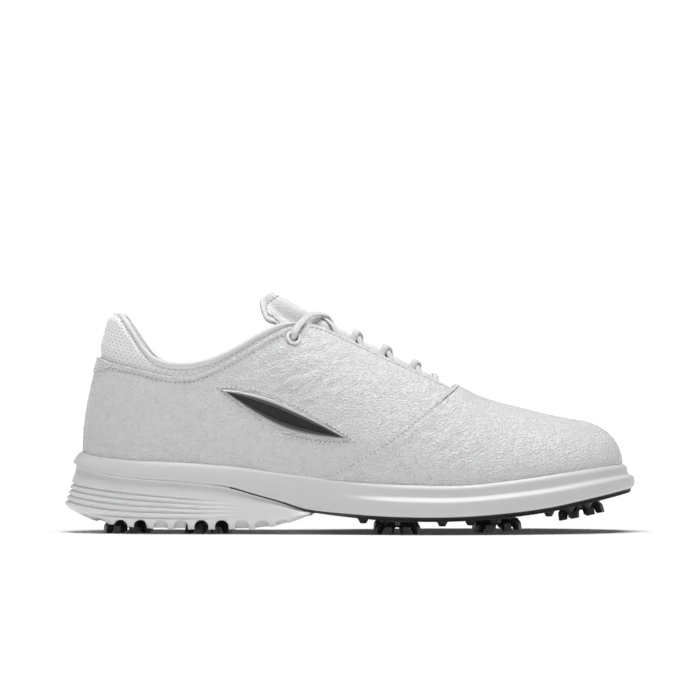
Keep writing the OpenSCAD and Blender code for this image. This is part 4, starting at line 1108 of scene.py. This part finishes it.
def all_stitches():
    """Every visible row of stitches, and both sides where a seam runs on both."""
    t = np.concatenate([np.linspace(-0.05, 1, 220), np.linspace(1, -0.05, 220)[1:]])
    a = seam(np.clip(t, 0, 1)) + 1.9/MM_PER_STATION
    a[220:] = 2*TOE - a[220:]
    stitches("vamp_seam_stitches", a, t, -LAP + 0.12)
    for side in (1, -1):
        label = side_name(side)
        s = np.linspace(0.95, 5.9, 400)
        stitches(f"collar_seam_stitches_{label}", side*s, crossing(s, QUARTER_TOP, -3.1), 0.14)
        s = np.linspace(6.05, 8.42, 240)
        t = crossing(s, QUARTER_TOP)
        drop = 2.7/np.linalg.norm(skin(s, t - 0.01, 0) - skin(s, t, 0), axis=-1)*0.01
        stitches(f"facing_stitches_{label}", side*s, t - drop, 0.12)
        u = np.linspace(-1, 1, 150)
        place = badge_place(side, 1, 1, 2.6)
        upper, lower = place(u, np.ones_like(u)), place(u[::-1], -np.ones_like(u))
        outline = [np.concatenate([x, y[1:]]) for x, y in zip(upper, lower)]
        stitches(f"badge_stitches_{label}", *outline, 0.0)
    a = np.linspace(-1.0, 1.0, 60)
    inside_patch = crossing(a, QUARTER_TOP, -8.0 + 7.0*np.abs(a/PATCH_END)**1.3)
    stitches("heel_patch_stitches", a, inside_patch, -0.62)
    tongue_border()


def tongue_border():
    """The tongue's border stitches, inside its tip and side edges."""
    end, v_inset = 0.965, 1 - TONGUE_HEM/34
    lengths = np.linspace(0.45, end, 60)
    u = np.concatenate([lengths, np.full(70, end), lengths[::-1]])
    v = np.concatenate([np.full(60, -v_inset), np.linspace(-v_inset, v_inset, 72)[1:-1],
                        np.full(60, v_inset)])
    a, t = tongue_place(u, v)
    depth = tongue_depth(half(a), 1 - t) + 0.28
    stitches("tongue_stitches", a, t, depth, "tongue", 2.9)


# ---- the sole --------------------------------------------------------------------------

PLATE_T = 2.2
BED_GAP = 0.12          # between the midsole and the pieces under it
CORE_INSET = 9.0
BEND = 0.6              # share of the way from keel to edge where the midsole's core ends
# The midsole wall's bulge past the bite line, from its lower edge to its top.
WALL_FRONT = np.array([
    [0, 5.2], [0.03, 5.8], [0.12, 6.25], [0.28, 6.4], [0.38, 6.25], [0.46, 5.95], [0.51, 5.4],
    [0.56, 4.2], [0.62, 3.2], [0.72, 2.75], [0.8, 2.6], [0.88, 2.4], [0.95, 1.7], [1, 0.7]])
WALL_REAR = np.array([
    [0, 3.6], [0.03, 4.1], [0.1, 4.3], [0.3, 4.0], [0.6, 3.1], [0.8, 2.2], [0.92, 1.4],
    [0.97, 0.9], [1, 0.4]])


def wall_offset(a, f):
    x = bite(a)[..., 0]
    rear = curve(WALL_REAR, f) + 0.6*ease(-100, -140, x)*(1 - f)
    return mix(rear, curve(WALL_FRONT, f), ease(-15, 35, x))


def stack(name, rings, material, slot, uv=None):
    """A closed solid from rings of points, its ends closed by strips from side to side."""
    n, count = rings.shape[:2]
    faces = ring_faces(n, count, caps=False)
    for first in (0, (n - 1)*count):
        row = first + np.arange(count)
        faces += quads(np.stack([row[:count//2], row[::-1][:count//2]])).tolist()
    return new_object(name, rings.reshape(-1, 3), faces, material, slot, uv=uv)


def level_ring(a, offset, height):
    """A ring at an offset from the bite line, its height a function of x and station."""
    b = bite(a) + outward(a)*np.asarray(offset)[..., None]
    b[..., 2] = height(b[..., 0], a)
    return swing(b)


def all_round(n):
    """Even stations round the shoe, none of them on the heel's or the toe's end."""
    return 2*TOE*(np.arange(n) + 0.5)/n


def midsole():
    """Foam midsole: a ridged wall in front, a plain flared one behind, and a bed inside."""
    a = all_round(720)
    rings = [level_ring(a, -CORE_INSET, lambda x, _: curve(MIDSOLE_CORE, x)),
             level_ring(a, wall_offset(a, np.zeros(720)) - 1.0,
                        lambda x, _: curve(MIDSOLE_EDGE, x) + 0.05)]
    for f in (0, 0.015, 0.04, *np.linspace(0.08, 0.94, 40), 0.96, 0.98, 0.995, 1):
        rings.append(level_ring(a, wall_offset(a, np.full(720, f)),
                                lambda x, s: mix(curve(MIDSOLE_EDGE, x), bite(s)[..., 2], f)))
    rings += [level_ring(a, 0.1, lambda x, s: bite(s)[..., 2] + 0.12), skin(a, -0.1, -0.1),
              skin(a, -0.5, -0.1), skin(a, -1.0, -0.1)]
    piece = stack("midsole_foam", np.array(rings), MIDSOLE, "midsole_foam")
    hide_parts("midsole")


def keel_x(s):
    """Where a rib's underside meets the keel."""
    rear = mix(-112, station(BITE, np.array(2.5))[0], np.clip(s, 0, 2.5)/2.5)
    front = mix(station(BITE, np.array(9.0))[0], 112, (np.clip(s, 9, TOE) - 9)/3)
    return np.where(s < 2.5, rear, np.where(s > 9, front, station(BITE, s)[..., 0]))


def under(a, v, drop):
    """Point under the midsole: v is 1 at its edge, BEND at its core and 0 on the keel."""
    a, v, drop = arrays(a, v, drop)
    o, b, kx = outward(a), bite(a), keel_x(half(a))
    e = b + o*wall_offset(a, np.zeros_like(a))[..., None]
    c = b - o*CORE_INSET
    keel, core, edge = (np.stack([x, y, curve(line, x) - drop], -1) for x, y, line in (
        (kx, 0*kx, MIDSOLE_CORE), (c[..., 0], c[..., 1], MIDSOLE_CORE),
        (e[..., 0], e[..., 1], MIDSOLE_EDGE)))
    outer = mix(core, edge, ((v - BEND)/(1 - BEND))[..., None])
    return swing(np.where((v > BEND)[..., None], outer, mix(keel, core, (v/BEND)[..., None])))


def line_t(x):
    """Thickness of the black line: the plate's tail, then the whole plate."""
    return 0.25 + (PLATE_T - 0.25)*ease(-60, 30, x)


def sole_sheet(name, lower, upper, material, slot):
    """A closed sheet under the sole, from one edge over the keel to the other."""
    n, m = lower.shape[:2]
    points = np.concatenate([lower.reshape(-1, 3), upper.reshape(-1, 3)])
    return new_object(name, points, sheet_faces(n, m), material, slot, sharp=38, merge=0.002)


def two_sides(v):
    """Rows for both sides: the values and the side, lateral first."""
    return np.concatenate([v, v[-2::-1]]), np.concatenate([np.ones(len(v)), -np.ones(len(v) - 1)])


def forefoot_plate():
    """The black outsole plate with a rounded edge, grooves and traction nubs."""
    s = np.concatenate([np.linspace(3.85, 11.6, 330), 11.6 + 0.4*np.linspace(0, 1, 40)[1:]])
    v, side = two_sides(np.concatenate([[1, 0.995, 0.985, 0.97, 0.95], np.linspace(0.92, BEND, 14),
                                        np.linspace(0.57, 0, 24)]))
    a, rows = s[:, None]*side[None], np.broadcast_to(v, (len(s), len(v)))
    x = bite(a)[..., 0]
    thick = line_t(x)
    full = ease(-20, 20, x)
    edge = np.clip((1 - rows)/0.03, 0, 1)
    lift = full*1.1*(1 - np.sqrt(np.clip(edge*(2 - edge), 0, 1)))
    lower = under(a, rows, BED_GAP + thick)
    inset = outward(a)*(full*1.6*(1 - edge)**2)[..., None]
    lower = lower - inset
    lower[..., 2] += lift + tread(lower, rows)*full
    upper = under(a, rows, BED_GAP)
    upper = upper - outward(a)*(full*0.3*(1 - edge))[..., None]
    plate = sole_sheet("forefoot_plate", lower, upper, BLACK_TPU, "plate_tpu")
    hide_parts("forefoot_outsole")
    nubs()


def tread(p, v):
    """Shallow wave grooves across the plate between the cleats."""
    x, y = p[..., 0], p[..., 1]
    wave = np.sin(2*np.pi*(x + 5*np.cos(y/9))/7.5)
    return 0.75*ease(0.45, 0.8, wave)*ease(0.93, 0.84, v)


# Nubs by station and inset from the bite line; their rings by radius and height.
NUBS = [(6.2, 6), (7.6, 5), (8.1, 5), (8.5, 5), (9.6, 5), (10.1, 5), (10.6, 5)]
NUB_RINGS = [(3.2, 1.2), (3.0, 0), (2.6, -0.7), (2.1, -1.6), (1.85, -2.2), (1.5, -2.54),
             (1.0, -2.6)]


def nubs():
    """Small traction nubs near the plate's edge: rounded cones."""
    disc = circle(28, np.array([1.0, 0, 0]), np.array([0, 1.0, 0]))
    points = []
    for s, inset in NUBS:
        for a in (np.array(float(s)), np.array(-float(s))):
            b = bite(a) - outward(a)*inset
            low = curve(MIDSOLE_EDGE, b[0]) - BED_GAP - line_t(b[0])
            centre = swing(np.array([b[0], b[1], float(low)]))
            points.append([centre + r*disc + [0, 0, z] for r, z in NUB_RINGS])
    size = len(NUB_RINGS)*len(disc)
    faces = repeated(ring_faces(len(NUB_RINGS), len(disc)), size, len(points))
    new_object("forefoot_nubs", np.array(points).reshape(-1, 3), faces, BLACK_TPU, "plate_tpu")


HEEL_FRONT = 5.35
PLATE_TAIL = (-76, -64) # where the plate's thin tail ends under the heel unit
HEEL_CLEATS = (-117, -74)
ARCH_REACH = 11         # the arches go right through beside the cleats, this far each way
RIBS = 4
RIB_DEPTH = 1.3
LEDGE = 0.9             # how far the unit's rim lies inside the midsole's lower edge
SCALLOP_START = -130
SCALLOP_PITCH = 10.6
SCALLOP_COUNT = 10
SCALLOP_R = 3.6
SCALLOP_Z = 3.9


def heel_drop(x):
    """Gap between the midsole and the heel unit, with room for the plate's tail."""
    return BED_GAP + (line_t(x) + 0.12)*ease(*PLATE_TAIL, x)


def scallop(x):
    """Height of the scallops' arches at x."""
    from_first = x - CENTRE[0] - SCALLOP_START
    k = np.clip(np.round(from_first/SCALLOP_PITCH), 0, SCALLOP_COUNT - 1)
    dx = from_first - k*SCALLOP_PITCH
    arch = SCALLOP_Z + np.sqrt(np.maximum(SCALLOP_R**2 - dx**2, 0))
    return np.where(np.abs(dx) < SCALLOP_R, arch, -50)


def heel_columns():
    """Stations of the heel unit's columns, close together at the scallops' edges."""
    half_steps = np.array([0, 1, 2, 2.7, 3.2, 3.5, 3.59, 3.62])
    steps = np.concatenate([-half_steps[:0:-1], half_steps, [4.4, 5.3]])
    x = np.concatenate([SCALLOP_START + SCALLOP_PITCH*k + steps for k in range(SCALLOP_COUNT)])
    s = np.linspace(0, HEEL_FRONT, 900)
    found = np.interp(x, (bite(s) + outward(s)*2.6)[:, 0], s)
    found = found[(found > 0.9) & (found < HEEL_FRONT - 0.02)]
    return np.unique(np.concatenate([np.linspace(0, 0.95, 40), found,
                                     np.linspace(4.4, HEEL_FRONT, 14)]))


def heel_unit():
    """The white heel unit: a plain band, four ribs, a band of scalloped lugs and its base.

    Rows q run from -1 at the rim over 0 and 1 at the ribs' top and foot to 2 at the lugs'
    tips, then up inside them to 4 at the base and 5 on the keel.
    """
    s = heel_columns()
    rows, side = two_sides(np.concatenate([
        [-1, -0.995, -0.98, -0.96, -0.93, -0.9, -0.8, -0.6, -0.35, -0.12],
        np.linspace(0, 1, 65),
        [1.2, 1.5, 1.8, 1.93, 1.98, 2.0, 2.02, 2.08, 2.3, 2.7, 2.92, 2.98, 3.0,
         3.05, 3.3, 3.6, 3.9, 4.0, 4.3, 4.65, 5.0]]))
    a, q = s[:, None]*side[None], np.broadcast_to(rows, (len(s), len(rows)))
    b, o = bite(a), outward(a)
    x = b[..., 0]
    back = ease(-118, -141, x)
    rib_top, rib_foot = mix(4.6, 6, back), mix(6, 9.8, back)
    lug = mix(2.6, -4.5, back)
    lug_inside = lug - mix(3.6, 3.1, ease(-95, -110, x))
    base = lug_inside - 0.6
    offsets = [wall_offset(a, np.zeros_like(a)), rib_top, rib_foot, lug, lug_inside, base]
    rim_z = curve(MIDSOLE_EDGE, x + o[..., 0]*3) - heel_drop(x)
    tips = curve(LUG_TIPS, x)
    heights = [rim_z, curve(RIB_HIGH, x), curve(RIB_LOW, x), tips, tips, curve(HEEL_BASE, x)]
    step = np.clip(np.floor(q).astype(int), -1, 3) + 1
    part = np.where(q >= 4, 1.0, np.clip(q - np.floor(q), 0, 1))
    offset, height = (np.choose(step, [mix(u, v, part) for u, v in zip(line[:-1], line[1:])])
                      for line in (offsets, heights))
    offset = offset - LEDGE*ease(-0.1, -0.7, q)
    waves = (0.5 + 0.5*np.cos(2*np.pi*RIBS*np.clip(q, 0, 1)))**1.6
    ribbed = mix(rib_top, rib_foot, np.clip(q, 0, 1)) - RIB_DEPTH*ease(-48, -100, x)*waves
    bulge = np.where((q > 1) & (q < 2), 0.5*np.sin(np.pi*part), 0)
    offset = np.where((q >= 0) & (q <= 1), ribbed, offset) + bulge
    shaped = b + o*offset[..., None]
    shaped[..., 2] = height
    kx = keel_x(half(a))
    keel = np.stack([kx, 0*kx, curve(HEEL_BASE, kx)], -1)
    flat = b + o*base[..., None]
    flat[..., 2] = curve(HEEL_BASE, x)
    lower = swing(np.where((q > 4)[..., None], mix(flat, keel, (q - 4)[..., None]), shaped))
    arch = np.minimum(scallop(lower[..., 0]), curve(HEEL_BASE, lower[..., 0]))
    closed = q > 2.5
    for cleat_x in HEEL_CLEATS:
        closed = closed & (np.abs(x - cleat_x) > ARCH_REACH)
    arch = np.where(closed, np.minimum(arch, tips + 0.5), arch)
    lower[..., 2] = np.where(q > 1.05, np.maximum(lower[..., 2], arch), lower[..., 2])
    upper = under(a, np.interp(q, [-1, 5], [1, 0]), heel_drop(x))
    upper = upper - o*(LEDGE*ease(-0.9, -1, q))[..., None]
    piece = sole_sheet("heel_unit", lower, upper, HEEL_TPU, "heel_tpu")
    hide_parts("heel_outsole")


def sockliner():
    """The removable sockliner, cupped at its edge, seen through the ankle opening."""
    inset, lift, thick = 8.4, 1.8, 4.0
    a = all_round(360)
    rings = []
    for extra, dz in ((0, 0), (-0.2, 0.4), (0.2, 2.8), (0.7, thick - 0.3), (1.3, thick),
                      (2.2, thick + 0.1), (4.5, thick - 0.35), (8, thick - 0.9),
                      (13, thick - 1.1), (20, thick - 1.2)):
        cup = 2.2*ease(9, 0, extra)*ease(-60, -125, bite(a)[..., 0])*(dz/thick)
        rings.append(level_ring(a, np.full(360, -inset - extra),
                                lambda _, s: curve(FLOOR, bite(s)[..., 0]) + lift + dz + cup))
    rings = np.array(rings)
    piece = stack("sockliner_textile", rings, INSOLE, "sockliner_textile",
                  uv=rings[..., :2].reshape(-1, 2))
    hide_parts("sockliner")


# ---- camera, light and floor -----------------------------------------------------------

def camera():
    """Long lens, level with the shoe's outer side."""
    rise, distance, width, aim = math.radians(-0.62), 2.2, 0.371, (0.0004, 0.0, 0.0963)
    data = bpy.data.cameras.new("camera")
    data.sensor_width = 36
    data.lens = data.sensor_width*distance/width
    data.clip_end = 50
    eye = (aim[0], -distance*math.cos(rise), aim[2] + distance*math.sin(rise))
    bpy.context.scene.camera = placed("camera", data, eye, math.pi/2 - rise)


def sky():
    """White near the horizon, dim above it."""
    world = bpy.data.worlds.new("studio")
    world.use_nodes = True
    w = Weaver(world, "Generated", "Background")
    split = w.add("SeparateXYZ", Vector=w.coordinates)
    w.put(w.shader.inputs["Color"], (1, 1, 1, 1))
    w.put(w.shader.inputs["Strength"], w.ramp(split.outputs["Z"], 0.1, 0.17, 1.05, 0.09))
    bpy.context.scene.world = world


def top_light():
    """A square softbox over the shoe, a little to its outer side."""
    beside, height = 0.1, 1.6
    data = bpy.data.lights.new("top_light", "AREA")
    data.shape, data.size, data.size_y = "RECTANGLE", 1.0, 1.0
    data.energy = 30
    placed("top_light", data, (0, -beside, height), math.atan2(beside, height))


def floor():
    """White paper that glows more the farther it lies from the shoe."""
    mesh = bpy.data.meshes.new("floor")
    mesh.from_pydata([(12.0*x, 12.0*y, 0) for x, y in ((-1, -1), (1, -1), (1, 1), (-1, 1))], [],
                     [(0, 1, 2, 3)])
    paper = principled("floor_paper", (0.88, 0.88, 0.88), 0.9, Specular_IOR_Level=0.1,
                       Emission_Color=(1, 1, 1, 1))
    w = Weaver(paper)
    away = w.add("VectorMath", Vector=w.coordinates)
    away.operation = "LENGTH"
    near, far = (w.ramp(away.outputs["Value"], *ends, "LINEAR")
                 for ends in ((0.2, 1.6, 0.03, 0.78), (1.6, 4.0, 0.0, 0.24)))
    w.put(w.shader.inputs["Emission Strength"], w.math("ADD", near, far))
    mesh.materials.append(paper)
    placed("floor", mesh)


bpy.context.scene.view_settings.view_transform = "Standard"
bpy.context.scene.view_settings.look = "None"
camera()
sky()
top_light()
floor()
laces()
vamp()
for side in (1, -1):
    quarter(side)
    eyelet_ring(side)
    badge(side)
heel_patch()
collar_panel()
topline_roll()
quarter_lining()
tongue()
all_stitches()
midsole()
forefoot_plate()
heel_unit()
sockliner()
